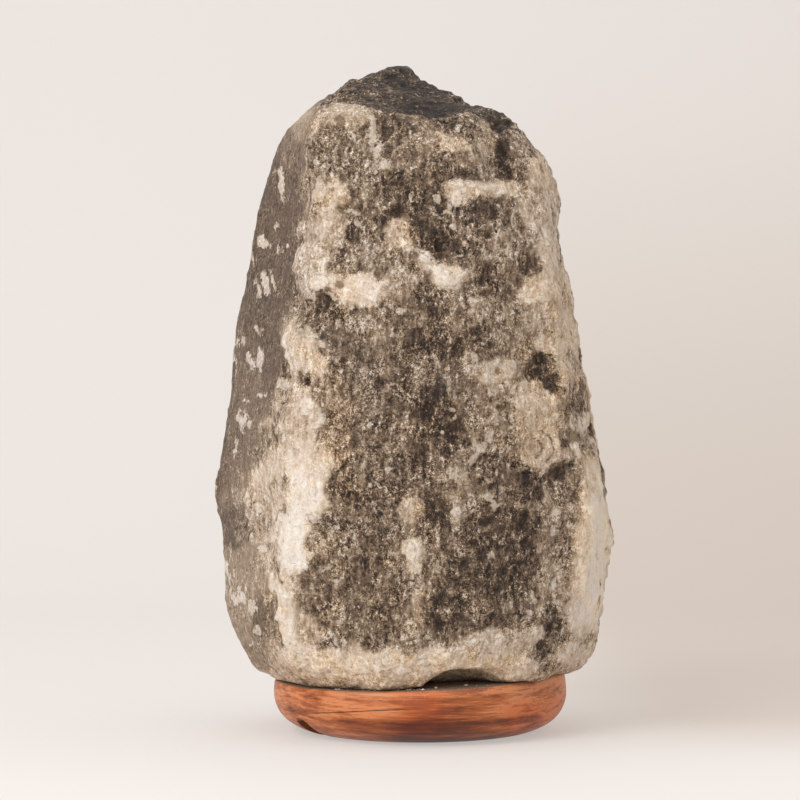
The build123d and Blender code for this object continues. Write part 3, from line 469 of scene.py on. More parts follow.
# Sharp pale marks: veins, flakes and bruises.
PALE_MARKS = (
    (-56.5, 229, 1.8, 7, -5, 1), (-64, 205, 2.2, 2.4, 0, 1), (-68.5, 200, 0.7, 4.5, -12, 1),
    (-63, 188, 2, 5, -5, 0.7), (-66.5, 186, 0.8, 4, -8, 0.8), (-59.3, 189, 0.8, 4.5, -18, 1),
    (-59, 211, 0.8, 1.6, -15, 0.8), (-58, 202.5, 0.8, 2.4, -20, 0.9), (-55, 203, 1, 0.8, 0, 0.8),
    (-66.5, 169.5, 0.7, 2, 0, 1), (-66.5, 157, 2.2, 6.5, -3, 0.6), (-74, 165, 0.8, 2, -30, 0.9),
    (-75, 157, 0.8, 8, -6, 0.6), (-65.5, 143, 2, 0.9, -20, 0.8), (-70, 140.5, 1.4, 0.6, 20, 1),
    (-72.3, 133, 1.4, 6, -8, 0.7), (-75.6, 121, 0.8, 3.4, -12, 1), (-77, 104, 0.6, 4, -5, 0.9),
    (-73.4, 103, 0.5, 2, 20, 0.8), (-74.5, 98, 0.5, 2.4, -25, 0.8), (-66, 98, 2.4, 3, 0, 0.7),
    (-41.8, 226, 2.2, 5.5, 0, 1), (-19.6, 250, 1.6, 8, 4, 0.8), (-17.6, 242, 1.4, 5, 18, 1),
    (-14.5, 235.5, 3.6, 2, 12, 0.9), (-18.4, 233, 1.2, 1.6, 0, 0.8), (-37, 236, 0.6, 2.4, 40, 0.7),
    (-26.2, 217.4, 1.6, 1.1, 30, 1), (-26, 213, 1.8, 1.2, 0, 0.8), (-8, 244, 1.8, 0.5, -35, 0.7),
    (-4.8, 223, 0.8, 3, 0, 0.9), (-27.5, 198, 1.6, 1.2, 0, 0.9), (-41, 188.5, 3.6, 2.6, 0, 1.2),
    (-36, 183, 3, 1, 35, 1.2), (-43, 183, 1.6, 1.6, 0, 1), (-19.5, 183.5, 2.6, 2.6, 0, 1.1),
    (-11, 193, 2.6, 0.9, 0, 0.7), (-12, 186, 0.8, 3, 0, 0.6), (-22, 174, 0.7, 2.6, 30, 0.9),
    (-8, 177.5, 2.6, 1.6, 0, 0.8), (-54, 160, 1.8, 9, -8, 0.8), (-57, 148, 2, 2.4, 0, 0.9),
    (-44, 166, 3, 0.8, 0, 0.8), (-48.5, 169, 1.2, 1.4, 0, 0.7), (-47, 139, 3, 4, 0, 0.8),
    (-41, 132, 2, 3.4, 20, 0.8), (-65, 81, 2.2, 1.6, 0, 1), (-42.5, 93, 2, 2.4, 0, 1),
    (-39.5, 83, 2, 1.8, 0, 0.9), (-36, 88, 1.6, 1.4, 0, 0.7), (-38, 73, 1.6, 0.7, -35, 0.8),
    (-35, 68.5, 1.8, 1.2, 0, 0.9), (-42, 57, 0.9, 1.1, 0, 0.8), (-44.5, 77, 1.2, 2.6, 0, 0.7),
    (-77.6, 73, 0.8, 8, 3, 1.1), (-75, 61, 1, 4, -16, 1.1), (-73, 64, 0.8, 2, 20, 1),
    (-68.5, 57, 1.4, 3.6, 8, 0.9), (-66, 48, 1.6, 2.4, -30, 0.9), (-68, 42.5, 1.2, 0.8, 0, 0.8),
    (-35.4, 43, 1.4, 1.8, 0, 0.6), (-31.5, 42.5, 1.4, 2.4, 0, 0.7), (-14, 35.5, 1.6, 2.6, 0, 1.1),
    (-26, 31, 5, 1.6, 5, 1), (-40, 33, 5, 2, 0, 0.9), (-12, 78.5, 2.2, 1, 0, 0.6),
    (-4.4, 79, 2.2, 4.4, 0, 1.3), (-1, 73, 1.2, 2.4, -20, 1), (-4, 67, 1.4, 1, 0, 0.8),
    (-18.5, 95.5, 0.9, 1.2, 0, 0.8), (-11.5, 147, 1.2, 0.9, 0, 0.8), (-11, 144.5, 0.8, 0.6, 0, 0.9),
    (-20, 106.5, 1.1, 1.2, 0, 0.9), (-13, 113, 2, 1.4, 0, 0.7), (-6, 99, 1, 3, 12, 0.7),
    (6.4, 223, 1.8, 1.8, 0, 1), (14.5, 222.5, 2, 3, 20, 1.1), (11, 218.5, 2, 1.4, -20, 1),
    (5.6, 216, 1.6, 0.8, 0, 0.8), (8.4, 215, 1.4, 0.7, 20, 0.9), (12.6, 211.4, 1.4, 1.5, 0, 1.1),
    (17.6, 226, 2, 1.6, 0, 0.7), (27, 227, 4, 1.8, 0, 0.8), (33.4, 225, 2.6, 1.6, 0, 0.7),
    (18.4, 204, 2.6, 1, 30, 1), (26.5, 199, 2.6, 1, -10, 0.9), (1.6, 199, 2.6, 2.6, 0, 1.2),
    (8, 192.5, 6, 1.8, 28, 1.2), (12, 189, 4, 1.8, 0, 1.2), (18, 193.5, 3, 1, -40, 1),
    (16, 199.5, 2.6, 0.8, -15, 0.6), (30.5, 207, 0.8, 5, 12, 0.8), (34, 201.5, 0.7, 4, 8, 0.7),
    (37.2, 218, 0.6, 4, 4, 0.7), (20.5, 181.5, 2, 0.9, 10, 1), (24.5, 174.5, 0.9, 4, 10, 0.8),
    (17.6, 183, 1, 0.9, 0, 0.8), (45, 181, 6, 1.6, 0, 0.6), (50, 175, 1.6, 0.9, 0, 0.8),
    (49, 165.5, 1.8, 0.9, 12, 1), (52, 163, 2.6, 0.9, 32, 1), (54, 161.5, 1.8, 0.8, 0, 0.9),
    (22, 159, 1.6, 2.2, -20, 0.8), (23.6, 155.5, 1.6, 1, 20, 0.9), (30, 155.5, 2.2, 0.9, 0, 0.8),
    (37.5, 155.5, 1.4, 1.5, 0, 1.1), (36.5, 151, 1.2, 1.8, 0, 0.8), (28, 145, 0.8, 4, 0, 0.6),
    (38.4, 147, 0.9, 3.4, 35, 0.9), (41.2, 140.5, 0.9, 3.4, 12, 0.9), (43, 135, 0.9, 3, 10, 0.8),
    (57, 147, 1.8, 1, 25, 0.9), (61, 152.5, 1.2, 0.8, 0, 0.8), (4.4, 147.5, 0.8, 0.8, 0, 0.9),
    (8.6, 128, 0.9, 0.9, 0, 1), (14, 142.8, 0.8, 0.8, 0, 0.9), (17.2, 143, 0.8, 0.7, 0, 0.9),
    (9.2, 152, 0.7, 1.8, 0, 0.8), (12, 137.5, 1.8, 1, 12, 0.9), (13, 134.5, 1.2, 1, 0, 0.9),
    (34.4, 133, 1.8, 0.8, 12, 1.1), (36.6, 130.2, 0.8, 1.4, 20, 1.2), (9, 122.3, 0.8, 0.8, 0, 0.8),
    (17.4, 117, 0.9, 0.8, 0, 1), (27.6, 125.6, 1.2, 2.4, 20, 1.4), (24.4, 121.6, 2.4, 1.8, -40, 1.7),
    (21, 117, 2.2, 1.4, -40, 1.5), (32, 121.5, 2.6, 0.7, 8, 0.7), (45, 112.4, 2.6, 0.7, 8, 0.8),
    (49.6, 115.5, 2, 0.6, -12, 0.8), (70.4, 108, 0.9, 6, 5, 1.1), (67, 112.4, 1.2, 1.8, 0, 0.9),
    (13.4, 109.6, 2.6, 1.8, 0, 0.7), (51, 105.3, 0.6, 0.4, 0, 1), (20, 103, 1.2, 0.7, 30, 0.8),
    (27.2, 102, 1.8, 1.8, 20, 1.7), (29.6, 98.4, 1.2, 2.4, -12, 1.7), (31.6, 98.6, 1.4, 0.6, -20, 1.5),
    (55, 94.6, 2, 1.8, 0, 1), (13.4, 96, 2, 2.2, 0, 0.8), (54, 87.6, 1.6, 2.4, 0, 0.6),
    (28, 78, 1.9, 1.9, 0, 0.5), (35, 77.2, 0.9, 0.8, 0, 1), (56.4, 73, 1, 1.8, 12, 0.8),
    (55, 66.6, 0.9, 1.8, 0, 0.7), (45.2, 61.6, 1.3, 2.6, -12, 1), (43.8, 55.4, 1.2, 1.2, 0, 0.9),
    (41, 55, 0.6, 1.2, -12, 1.1), (29.4, 62.6, 1.1, 0.6, 0, 0.8), (46, 47.6, 1.6, 2, 0, 1),
    (27.4, 46.4, 1.6, 1.2, 0, 0.6), (-1, 45.4, 0.6, 0.6, 0, 1.1), (36.4, 27.6, 1.6, 0.8, 0, 0.8),
    (22.8, 30.2, 1, 0.7, 0, 0.9), (2, 35, 5, 1.6, 0, 0.8), (10.5, 37.6, 4, 1.6, -15, 0.7),
    (-8, 32, 4, 1.8, 0, 0.9), (46.6, 29.6, 2, 0.7, -15, 0.9), (9.4, 76.4, 0.8, 0.9, 0, 0.8),
    (12.4, 72, 0.8, 1.8, 0, 0.7), (7, 72, 0.8, 1.6, 0, 0.7), (18, 67.5, 0.8, 0.8, 0, 0.7),
)
# Sharp dark marks: pits, breaks and holes in the pale skin.
DARK_MARKS = (
    (-32.6, 254, 2.4, 2.4, 0, 0.7), (-13, 239.3, 1.8, 1, 0, 1.2), (-23, 218, 1.6, 1.8, 0, 1),
    (-9.6, 217, 2.6, 3, 0, 1.1), (-28, 207, 2.6, 3.2, 0, 0.7), (-25, 195.6, 3, 1.8, 20, 1),
    (-33, 188.3, 1.8, 2, 0, 0.9), (-32.4, 193, 2, 1.4, 20, 0.7), (-39.6, 181, 3, 4, 20, 0.7),
    (-18, 206, 2.4, 1, 0, 0.8), (-39.4, 160.4, 1.2, 1, 30, 1.4), (-34.6, 164, 1.8, 2.6, 0, 0.7),
    (-31, 157.6, 1.4, 1.2, 0, 0.9), (-28, 142.6, 1.4, 1.4, 0, 0.9), (-14, 174.6, 1.4, 1.2, 0, 0.9),
    (-17.6, 148.6, 1.4, 2.2, 20, 0.7), (-27.4, 123.4, 1.8, 3, -12, 0.8),
    (-32.6, 124.6, 1.4, 0.9, 0, 0.7), (-10.6, 157.6, 2, 1, 0, 0.7), (-58.6, 124, 0.9, 2.4, 0, 0.8),
    (-37.6, 50, 2.6, 1, 0, 0.9), (-41.4, 40, 1.2, 0.9, 0, 1), (-10.6, 75.4, 3, 1.4, 0, 0.5),
    (-56.4, 67, 1.4, 0.8, 20, 0.6), (-63, 63.6, 1.4, 1.6, 0, 0.5), (-34, 84.6, 1.8, 1, 20, 0.7),
    (-31, 75, 1.8, 1.8, 0, 0.6), (8, 260, 8, 3, 0, 1), (11, 255.4, 5, 0.7, 0, 1),
    (31.4, 252, 2.6, 2, 15, 1.5), (35.6, 253, 1.8, 1, 20, 1.2), (33.4, 241, 2.4, 5.4, 0, 1.3),
    (35.6, 233.4, 1.8, 3.4, -10, 1.1), (17, 233.6, 4.4, 1.4, 5, 1), (22.6, 231, 2, 0.9, 0, 0.8),
    (29.4, 218, 1.4, 1.6, 0, 0.7), (21.4, 214, 2, 1.4, 0, 0.7), (27.2, 207.4, 1.7, 1.7, 0, 1.1),
    (17, 206.8, 2.4, 1, 30, 1.2), (20.6, 203.8, 2.2, 0.9, 40, 1.2), (22, 200.6, 0.9, 0.7, 0, 1.3),
    (8.6, 204.6, 2.4, 4.4, 0, 1.2), (6.4, 199.4, 2.4, 1.2, 20, 1.4), (12, 203.6, 2.2, 3, -25, 1),
    (1, 211, 2, 3, 0, 0.8), (35.6, 205, 0.8, 1.6, -15, 1), (25, 189, 1.8, 1.6, 0, 0.8),
    (26, 184, 3, 1.8, 0, 0.8), (42, 194.6, 1.6, 1, 0, 0.8), (45.4, 197, 2.4, 2.6, 0, 0.6),
    (8.4, 164, 2, 2.2, 0, 1.1), (13.6, 162, 2.2, 2, 0, 1.1), (5, 168, 1.4, 1.6, 0, 0.8),
    (9, 158.6, 1.4, 1.4, 0, 0.9), (22, 168.6, 2.6, 1.8, 0, 1), (28, 162.8, 1.8, 1.6, 0, 0.8),
    (23, 161.2, 0.8, 0.9, 0, 1), (31.6, 152.8, 1.2, 1.1, 0, 1.2), (48, 157, 3, 2.4, 20, 1.2),
    (46.6, 152, 2.4, 1.8, 0, 1.1), (52, 148.4, 2, 2.4, 10, 1.2), (54, 144.8, 1.4, 0.8, 0, 1),
    (32.6, 137.8, 2.8, 1, 5, 1), (63, 126, 3, 2.6, 0, 1), (59.6, 123.6, 1.2, 0.9, 0, 1.1),
    (64.6, 138, 1.8, 4, 0, 0.6), (13.6, 131, 2.8, 2.6, 0, 1.1), (3.4, 137, 3, 4, 0, 0.9),
    (14, 125, 2.2, 2.4, 0, 1), (5.6, 143, 1.4, 1.6, 0, 0.8), (1, 120, 2.4, 3, 0, 0.8),
    (10.4, 119, 2.6, 2.6, 0, 0.8), (43, 108, 3, 2.6, 20, 1), (55.4, 112, 1.8, 3, 40, 1),
    (28.4, 106.4, 1.8, 1.4, 0, 1), (48, 103, 3, 3, 0, 0.7), (8.6, 98.6, 1.4, 2.4, -10, 1.2),
    (6, 93, 2.2, 3, 0, 1), (27, 91, 2.2, 2, 0, 0.9), (42, 92, 3, 4, 0, 0.9), (43, 82, 3, 3, 0, 0.8),
    (20, 82, 2.8, 1.8, 0, 0.9), (17, 73, 2.4, 2.4, 0, 0.8), (33, 72, 2.6, 2.6, 0, 0.8),
    (9.2, 73.6, 0.8, 2, 0, 1), (31, 63.6, 2, 1.8, 0, 0.8), (7, 66, 1.8, 3, 0, 0.8),
    (7, 49, 2.2, 3.4, 0, 0.8), (17, 53, 2, 1.8, 0, 0.7), (38.8, 58, 1.8, 1.6, 0, 0.9),
    (48, 58.6, 1.6, 1.5, 0, 0.8), (54.4, 53.6, 1.8, 3, -20, 0.9), (53, 48.6, 2, 2, 0, 0.8),
    (49, 41, 2.4, 2.4, 0, 0.6), (73.4, 60, 1, 7, 8, 1), (61, 84, 1, 1.6, 0, 0.4),
)
# Cracks and hard steps, each a line of points.
CRACKS = (
    ((-42.5, 163.5), (-40, 160), (-37, 156.5), (-33, 154), (-28.5, 152.6)),
    ((-55.5, 99), (-57.5, 94), (-61, 88), (-62.5, 79), (-60, 71), (-56.5, 67)),
    ((-57.6, 136), (-59, 130), (-58.4, 124)),
    ((-59.5, 56), (-59, 49), (-57, 41)),
    ((-33, 45), (-32.8, 40)),
    ((-70, 93), (-73, 87)), ((-68, 90), (-71, 84)), ((-72, 94), (-75, 88)),
    ((20, 113.5), (25, 118), (30, 119.2), (35, 117.5), (40, 112), (47, 108.5), (51, 107)),
    ((-44, 186), (-40, 185.6), (-36, 181), (-33, 176), (-31, 171)),
    ((0, 201), (4, 197.5), (9, 198.5)), ((22, 200.6), (18, 206.6)),
    ((40, 250), (34, 254), (28, 255.6)), ((3, 256.5), (12, 254.6), (15, 256)),
    ((48, 129), (52, 126), (54, 120), (51, 116)), ((45, 126), (49, 121), (47, 117)),
)
# Round pits: centre, radius, depth.
PITS = (
    (27.2, 207.4, 2.2, 0.9), (31.6, 152.8, 1.6, 0.7), (23, 161.2, 1.4, 0.6), (-13, 239.3, 2, 0.7),
    (-33, 188.3, 2.2, 0.8), (-41.4, 40, 1.6, 0.6), (22, 200.6, 1.6, 0.9), (8.6, 204, 4, 1.1),
    (-9.6, 217, 3.4, 0.8), (33.4, 241, 4, 1.0), (31.4, 252, 3, 1.2), (48, 156, 4, 0.8),
    (63, 126, 3.6, 0.8), (-23, 218, 2.2, 0.7), (32.6, 137.8, 3, 0.7), (-28, 123.4, 2.8, 0.7),
    (12.8, 130, 4, 0.6),
)


def reach_in(oval, across, up):
    """How far out in a leaning oval each point lies: 0 in its middle, 1 on its edge."""
    x, z, wide, high, lean = oval
    turn = math.radians(lean)
    right = (across - x) * math.cos(turn) + (up - z) * -math.sin(turn)
    along = (across - x) * math.sin(turn) + (up - z) * math.cos(turn)
    return np.sqrt((right / wide) ** 2 + (along / high) ** 2)


def spread(across, up, marks):
    """How deep each point lies in the nearest of some sharp marks, in millimetres, times strength."""
    deepest = np.full(len(across), -8.0)
    for *oval, strength in marks:
        small = min(oval[2:4])
        depth = (1 - reach_in(oval, across, up)) * small * (0.6 + 0.4 * strength) + 0.5 * (strength - 1)
        deepest = np.maximum(deepest, depth)
    return deepest


def wash(across, up, tones):
    """Soft overlapping tones, the later over the earlier."""
    result = np.zeros(len(across))
    for *oval, strength in tones:
        # dark places have firmer edges than white ones
        softness = 0.35 if strength > 0.5 else 0.22
        cover = 1 - step(reach_in(oval, across, up), 0.95 - softness, 0.95 + softness)
        result = result * (1 - cover) + strength * cover
    return result


def off_line(across, up, lines):
    """Distance of each point from the nearest of some broken lines, in millimetres, at most 5."""
    nearest = np.full(len(across), 5.0)
    for line in lines:
        for (x0, z0), (x1, z1) in zip(line, line[1:]):
            run = (x1 - x0) ** 2 + (z1 - z0) ** 2
            share = np.clip(((across - x0) * (x1 - x0) + (up - z0) * (z1 - z0)) / run, 0, 1)
            gap = np.hypot(across - x0 - share * (x1 - x0), up - z0 - share * (z1 - z0))
            nearest = np.minimum(nearest, gap)
    return nearest


def picture_plane(points, stage):
    """Where the front's points lie on the upright picture plane, in millimetres."""
    pull = (stage.distance - PICTURE_PLANE) / (stage.distance + points[:, 1])
    across = stage.aside + (points[:, 0] - stage.aside) * pull
    up = stage.height + (points[:, 2] - stage.height) * pull
    return across / MM, up / MM


def turned_over(across, up):
    """The place of a front mark that stands here at the back: upside down and the other way round."""
    return -across - 4, 300 - up


def in_bore(points):
    """Which points lie in the bore."""
    return (np.hypot(points[:, 0], points[:, 1]) < BORE_REACH) & (points[:, 2] < BORE_TOP)


def free_skin(points, low, high, overhang):
    """How free each point is to move, from 0 in the bore and low over the seat to 1 high over it."""
    seat = points[:, 2] - SEAT_HEIGHT - points[:, 0] * SEAT_RISE_RIGHT - points[:, 1] * SEAT_RISE_BACK
    outside = np.hypot(points[:, 0], points[:, 1]) > OVERHANG_REACH
    return np.where(in_bore(points), 0.0, np.maximum(step(seat, low, high), outside * overhang))


def salt_marks(points, normals, bore, stage):
    """What the skin shows at each point: its tone, warmth, marks, cracks, smooth side and crown."""
    across, up = picture_plane(points, stage)
    # ragged edges: the marks are looked up a little beside each point, further off on the steep sides
    steep = 1 + 3 * step(np.abs(normals[:, 0]), 0.8, 0.98)
    sway, rise = rough(points, 9 * MM, 3, 3.1), rough(points, 9 * MM, 3, 9.4)
    # on the flanks, which the front doesn't show, the marks fold back instead of running on as streaks
    right = step(normals[:, 0], 0.88, 0.98) * np.maximum(points[:, 1] / MM + 14, 0)
    left = step(-normals[:, 0], 0.96, 0.99) * np.maximum(points[:, 1] / MM + 5, 0)
    across, up = across - 1.1 * (right - left), up - 0.5 * (right + left)
    soft_across, soft_up = across + 2 * sway * steep, up + 2 * rise
    across, up = across + 1.2 * sway * steep, up + 1.2 * rise
    behind = step(points[:, 1], 10 * MM, 28 * MM)
    hidden = np.where(points[:, 1] < 18 * MM, 0.0, 99.0)

    def sharp(marks):
        at_back = spread(*turned_over(across, up), marks)
        return np.maximum(spread(across, up, marks) - hidden, at_back - 99 + hidden)

    def soft(across, up, tones):
        return wash(across, up, tones) * (1 - behind) + wash(*turned_over(across, up), tones) * behind

    tone = soft(soft_across, soft_up, TONES)
    tone = PLAIN_TONE + np.where(tone > 0, PALER_TONE, DARKER_TONE) * tone
    # the smooth grey side, left of a leaning line, and the dark crown
    side = step(np.interp(up, *SIDE_EDGE) - across, -1.0, 2.0) * (1 - behind)
    crown = step(up - np.interp(across, *CROWN_EDGE), -0.8, 1.2) * (points[:, 2] > 244 * MM)
    layered = rough(points * np.array((0.5, 0.5, 2.5)), 7 * MM, 2, 6.5)
    tone = tone + crown * (np.interp(across, *CROWN_TONE) + 0.12 * layered - tone)
    return SimpleNamespace(
        across=across, up=up, behind=behind, side=side, crown=crown, tone=np.where(bore, 0.6, tone),
        warm=soft(across, up, WARMTHS), pale=sharp(PALE_MARKS), dark=sharp(DARK_MARKS),
        crack=off_line(across, up, CRACKS) + 6 * behind,
    )


def salt_relief(points, marks, salt):
    """How far the skin stands out at each point, in metres."""
    side, behind = marks.side, marks.behind
    lumps = rough(points, 30 * MM, 2, 1.0)
    layers = rough(points, 20 * MM, 2, 11.0) * 3.0
    ledges = np.floor(layers) + step(layers - np.floor(layers), 0.36, 0.64)
    chips = rough(points, 8 * MM, 3, 5.0)
    grit = rough(points, 2.4 * MM, 2, 8.0)
    ridges = rough(points * np.array((1, 1, 0.12)), 2.4 * MM, 1, 2.0)
    strata = rough(points * np.array((0.35, 0.35, 2.2)), 9 * MM, 2, 6.0)
    smooth = step(marks.tone, 0.6, 0.85)
    broken = (1 - 0.8 * side) * (1 - 0.6 * smooth)
    height = salt.lump * lumps * (1 - 0.4 * side)
    height += salt.ledge * ledges * (1 - 0.85 * side) * (1 - 0.5 * smooth)
    height += salt.chip * (0.3 - np.abs(chips) * 1.6) * broken
    height += salt.grit * grit * broken
    height += 0.25 * MM * ridges * side + 1.3 * MM * strata * marks.crown
    # dark salt lies a little deeper than pale
    height += 0.9 * MM * (step(marks.tone, 0.34, 0.62) - 0.6) * (1 - side) * (1 - behind)
    height += 0.4 * MM * step(marks.pale, -0.3, 0.9) - 0.5 * MM * step(marks.dark, -0.3, 0.8)
    height -= 0.5 * MM * (1 - step(marks.crack, 0.2, 1.5))
    for x, z, radius, depth in PITS:
        reach = np.hypot(marks.across - x, marks.up - z) / radius
        height -= depth * MM * (1 - step(reach, 0.35, 1.05)) * (1 - behind)
    return height


class LAMP_OT_salt_crystal(bpy.types.Operator):
    """Roughens the block of salt and paints its veins"""

    bl_idname = "lamp.salt_crystal"
    bl_label = "Salt crystal"

    def execute(self, context):
        salt, stage = context.scene.lamp_salt, context.scene.lamp_stage
        block = copy_of_node("salt_crystal", "salt_block")
        modify(block, "REMESH", mode="VOXEL", voxel_size=salt.grain * 1)
        mesh = block.data

        # finer faces on the front, where the block is looked at
        points = points_of(mesh)
        mesh.vertices.foreach_set("select", (points[:, 1] < FRONT) & ~in_bore(points))
        pick(block)
        bpy.ops.object.mode_set(mode="EDIT")
        bpy.ops.mesh.select_mode(type="VERT")
        bpy.ops.mesh.subdivide(number_cuts=1)
        bpy.ops.object.mode_set(mode="OBJECT")

        # only the skin is shaped, without the bore and the seat on the base
        points = points_of(mesh)
        bore = in_bore(points)
        loose = free_skin(points, 0.6 * MM, 4 * MM, 0.6)
        carved = free_skin(points, 0.3 * MM, 3 * MM, 0.5)
        skin = block.vertex_groups.new(name="skin")
        for share in range(1, 11):
            chosen = np.nonzero(np.round(loose * 10) == share)[0]
            skin.add(chosen.tolist(), share / 10, "REPLACE")
        modify(block, "SMOOTH", factor=0.5, iterations=12, vertex_group="skin")

        points, normals = points_of(mesh), normals_of(mesh)
        marks = salt_marks(points, normals, bore, stage)
        height = salt_relief(points, marks, salt)
        mesh.vertices.foreach_set("co", (points + normals * (height * carved)[:, None]).ravel())
        mesh.update()

        # sides turned towards the key light at the left are painted darker, as painted shade, most on the
        # smooth side; those turned away to the right are painted a little lighter, as painted light
        turned = step(-normals[:, 0], 0.35, 0.9) * (0.04 + 0.18 * marks.side)
        turned -= 0.08 * step(normals[:, 0], 0.35, 0.85)
        paint(mesh, "light", np.interp(marks.tone, *LIGHTER) - turned * (1 - 0.5 * marks.crown))
        for name in ("pale", "dark", "warm", "crack", "side"):
            paint(mesh, name, getattr(marks, name))
        mesh.shade_smooth()
        dress(block, rock_salt(salt))
        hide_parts("salt_crystal")
        settle(block, "lamp")
        return {"FINISHED"}


def rock_salt(salt):
    """Grey-brown rock salt, speckled, with cream veins, white bruises and a smooth grey side."""
    m = Finish("rock_salt")
    light, pale, dark = m.field("light"), m.field("pale"), m.field("dark")
    warm, crack, side = m.field("warm"), m.field("crack"), m.field("side")
    cloud = m.noise(80, 4, 0.6) - 0.5
    blotch = m.noise(380, 5, 0.66, 0.5) - 0.5
    fine = m.noise(800, 3, 0.7) - 0.5
    speck = m.noise(1900, 2, 0.7) - 0.5
    drips = m.noise(420, 4, 0.65, place=m.mapped((1, 1, 0.3))) - 0.5
    streaks = m.noise(1100, 3, 0.7, place=m.mapped((1, 1, 0.1))) - 0.5
    hue = m.noise(120, 3, 0.6) - 0.5
    # broken crystals: cells with wandering edges, each a little lighter or darker than the next
    wander = m.node(
        "ShaderNodeVectorMath", {"operation": "MULTIPLY_ADD"},
        {0: m.noise(300, 3, 0.6, out="Color"), 1: (0.007, 0.007, 0.007), 2: m.place},
    )
    crystal = m.split(m.cells(200, place=wander, out="Color"))[0] - 0.5
    shard = m.split(m.cells(520, place=wander, out="Color"))[0] - 0.5

    # grain is strong in dark salt and weak in white, and comes in patches
    grainy = (1 - light.ramp(0.45, 0.95) * 0.8) * (1 - side * 0.45)
    uneven = 1 - side * 0.6
    restless = m.noise(120, 3, 0.6).ramp(0.36, 0.62) * 0.85 + 0.3
    value = light + cloud * 0.15 * grainy + blotch * 0.75 * grainy * uneven
    value = value + crystal * 0.14 * grainy * (1 - side * 0.8) + shard * 0.2 * grainy * (1 - side * 0.7)
    value = value + (fine * 1.3 + speck * 1.6) * restless * grainy + drips * 1.3 * grainy * uneven
    value = value + streaks * 0.35 * side
    # pale flecks with hard edges, painted glints of the salt's crystals, and dark pocks
    glints_and_pocks = m.noise(640, 2, 0.55, 0.8, m.mapped((1, 1, 0.6), (0, 0.35, 0)))
    value = value + glints_and_pocks.ramp(0.575, 0.61) * 0.3 * grainy * restless
    value = value - glints_and_pocks.ramp(0.42, 0.38) * 0.16 * grainy * restless

    # edges of flakes: thin winding pale lines, in patches, each with a painted shadow along it
    patchy = m.noise(55, 2, 0.5).ramp(0.42, 0.6) * (1 - side * 0.7)
    wind = abs(m.noise(210, 1, 0.5, 1.6) - 0.5)
    flake = (0.016 - wind).ramp(0.0, 0.012) * patchy * m.noise(330, 1).ramp(0.45, 0.6)
    # a dark line beside each pale edge: painted shadow
    flake_shadow = (0.035 - abs(wind - 0.04)).ramp(0.0, 0.03) * patchy
    value = value + flake * 0.34 * grainy - flake_shadow * 0.12 * grainy
    # loose grains, pale and dark, and short pale dashes down the smooth side
    seed = m.split(m.cells(560, out="Color"))[0]
    grain = (0.27 - m.cells(560)).ramp(0.0, 0.12)
    value = value + grain * seed.ramp(0.72, 0.8) * 0.4 * grainy
    value = value - grain * seed.ramp(0.25, 0.2) * 0.25 * grainy
    dash = m.noise(1000, 2, 0.6, 0.3, m.mapped((1, 1, 0.22))).ramp(0.66, 0.72) * side
    value = value + dash * 0.3
    # pits and crumbs
    hollow = m.noise(300, 3, 0.6, 0.4, m.mapped((1, 1, 0.8), (0.4, 0.2, 0.1))).ramp(0.62, 0.7)
    crumb = m.noise(340, 3, 0.6, 0.4, m.mapped((1, 1, 0.9), (1.4, 0.7, 0.3))).ramp(0.64, 0.7)
    value = value - hollow * 0.2 * grainy + crumb * 0.24 * grainy * uneven

    # painted marks, with broken edges
    pale_mask = (pale + blotch * 1.8 + fine * 2).ramp(-0.35, 0.3)
    dark_mask = (dark + blotch * 3.2 + fine * 3).ramp(-0.5, 0.6)
    line = (crack + fine * 1.6 + blotch).ramp(0.55, 0.1)
    value = m.node(
        "ShaderNodeMix", {"data_type": "FLOAT"},
        {"Factor": pale_mask * 0.85, "A": value, "B": 0.88 + fine * 0.6 + shard * 0.1},
    )
    value = value - dark_mask * 0.34 * (value + 0.15) - line * 0.2

    shade = m.node(
        "ShaderNodeValToRGB",
        {"stops": ((0.0, salt.black), (1.0, salt.white), (0.2, salt.dark), (0.4, salt.brown),
                   (0.6, salt.tan), (0.8, salt.cream))},
        {"Fac": value}, "Color",
    )
    tint = warm * 0.8 + hue * 2.6
    shade = m.tinted(tint.ramp(0.1, 0.9) * 0.8, shade, (1.08, 0.985, 0.83))
    shade = m.tinted((0 - tint).ramp(0.05, 0.8) * 0.8, shade, (0.93, 0.97, 1.06))
    shade = m.tinted(side, shade, (0.95, 0.99, 1.05))

    rise = blotch * 0.5 * uneven + fine * 0.35 + drips * 0.3 + streaks * 0.2 * side
    rise = rise + (crystal * 0.09 + shard * 0.05) * (1 - side)
    rise = rise * grainy.above(0.4) + pale_mask * 0.06 - dark_mask * 0.1
    rise = rise - line * 0.16 + grain * 0.04 - hollow * 0.08
    return m.finish(
        base_color=shade,
        roughness=0.6 - fine * 0.8,
        normal=m.bump(rise, 4.5 * MM, 1.0),
        ior=1.54,
        specular_ior_level=0.4,
    )


# ---- the turned base -------------------------------------------------------------------------------


class LAMP_OT_wooden_base(bpy.types.Operator):
    """Gives the turned base its grain, wax, crack and dusty top"""

    bl_idname = "lamp.wooden_base"
    bl_label = "Wooden base"

    def execute(self, context):
        base = copy_of_node("wooden_base", "turned_base")
        base.data.shade_smooth()
        pick(base)
        bpy.ops.object.shade_smooth_by_angle(angle=math.radians(30))
        dress(base, turned_wood(context.scene.lamp_wood))
        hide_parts("wooden_base")
        settle(base, "lamp")
        return {"FINISHED"}


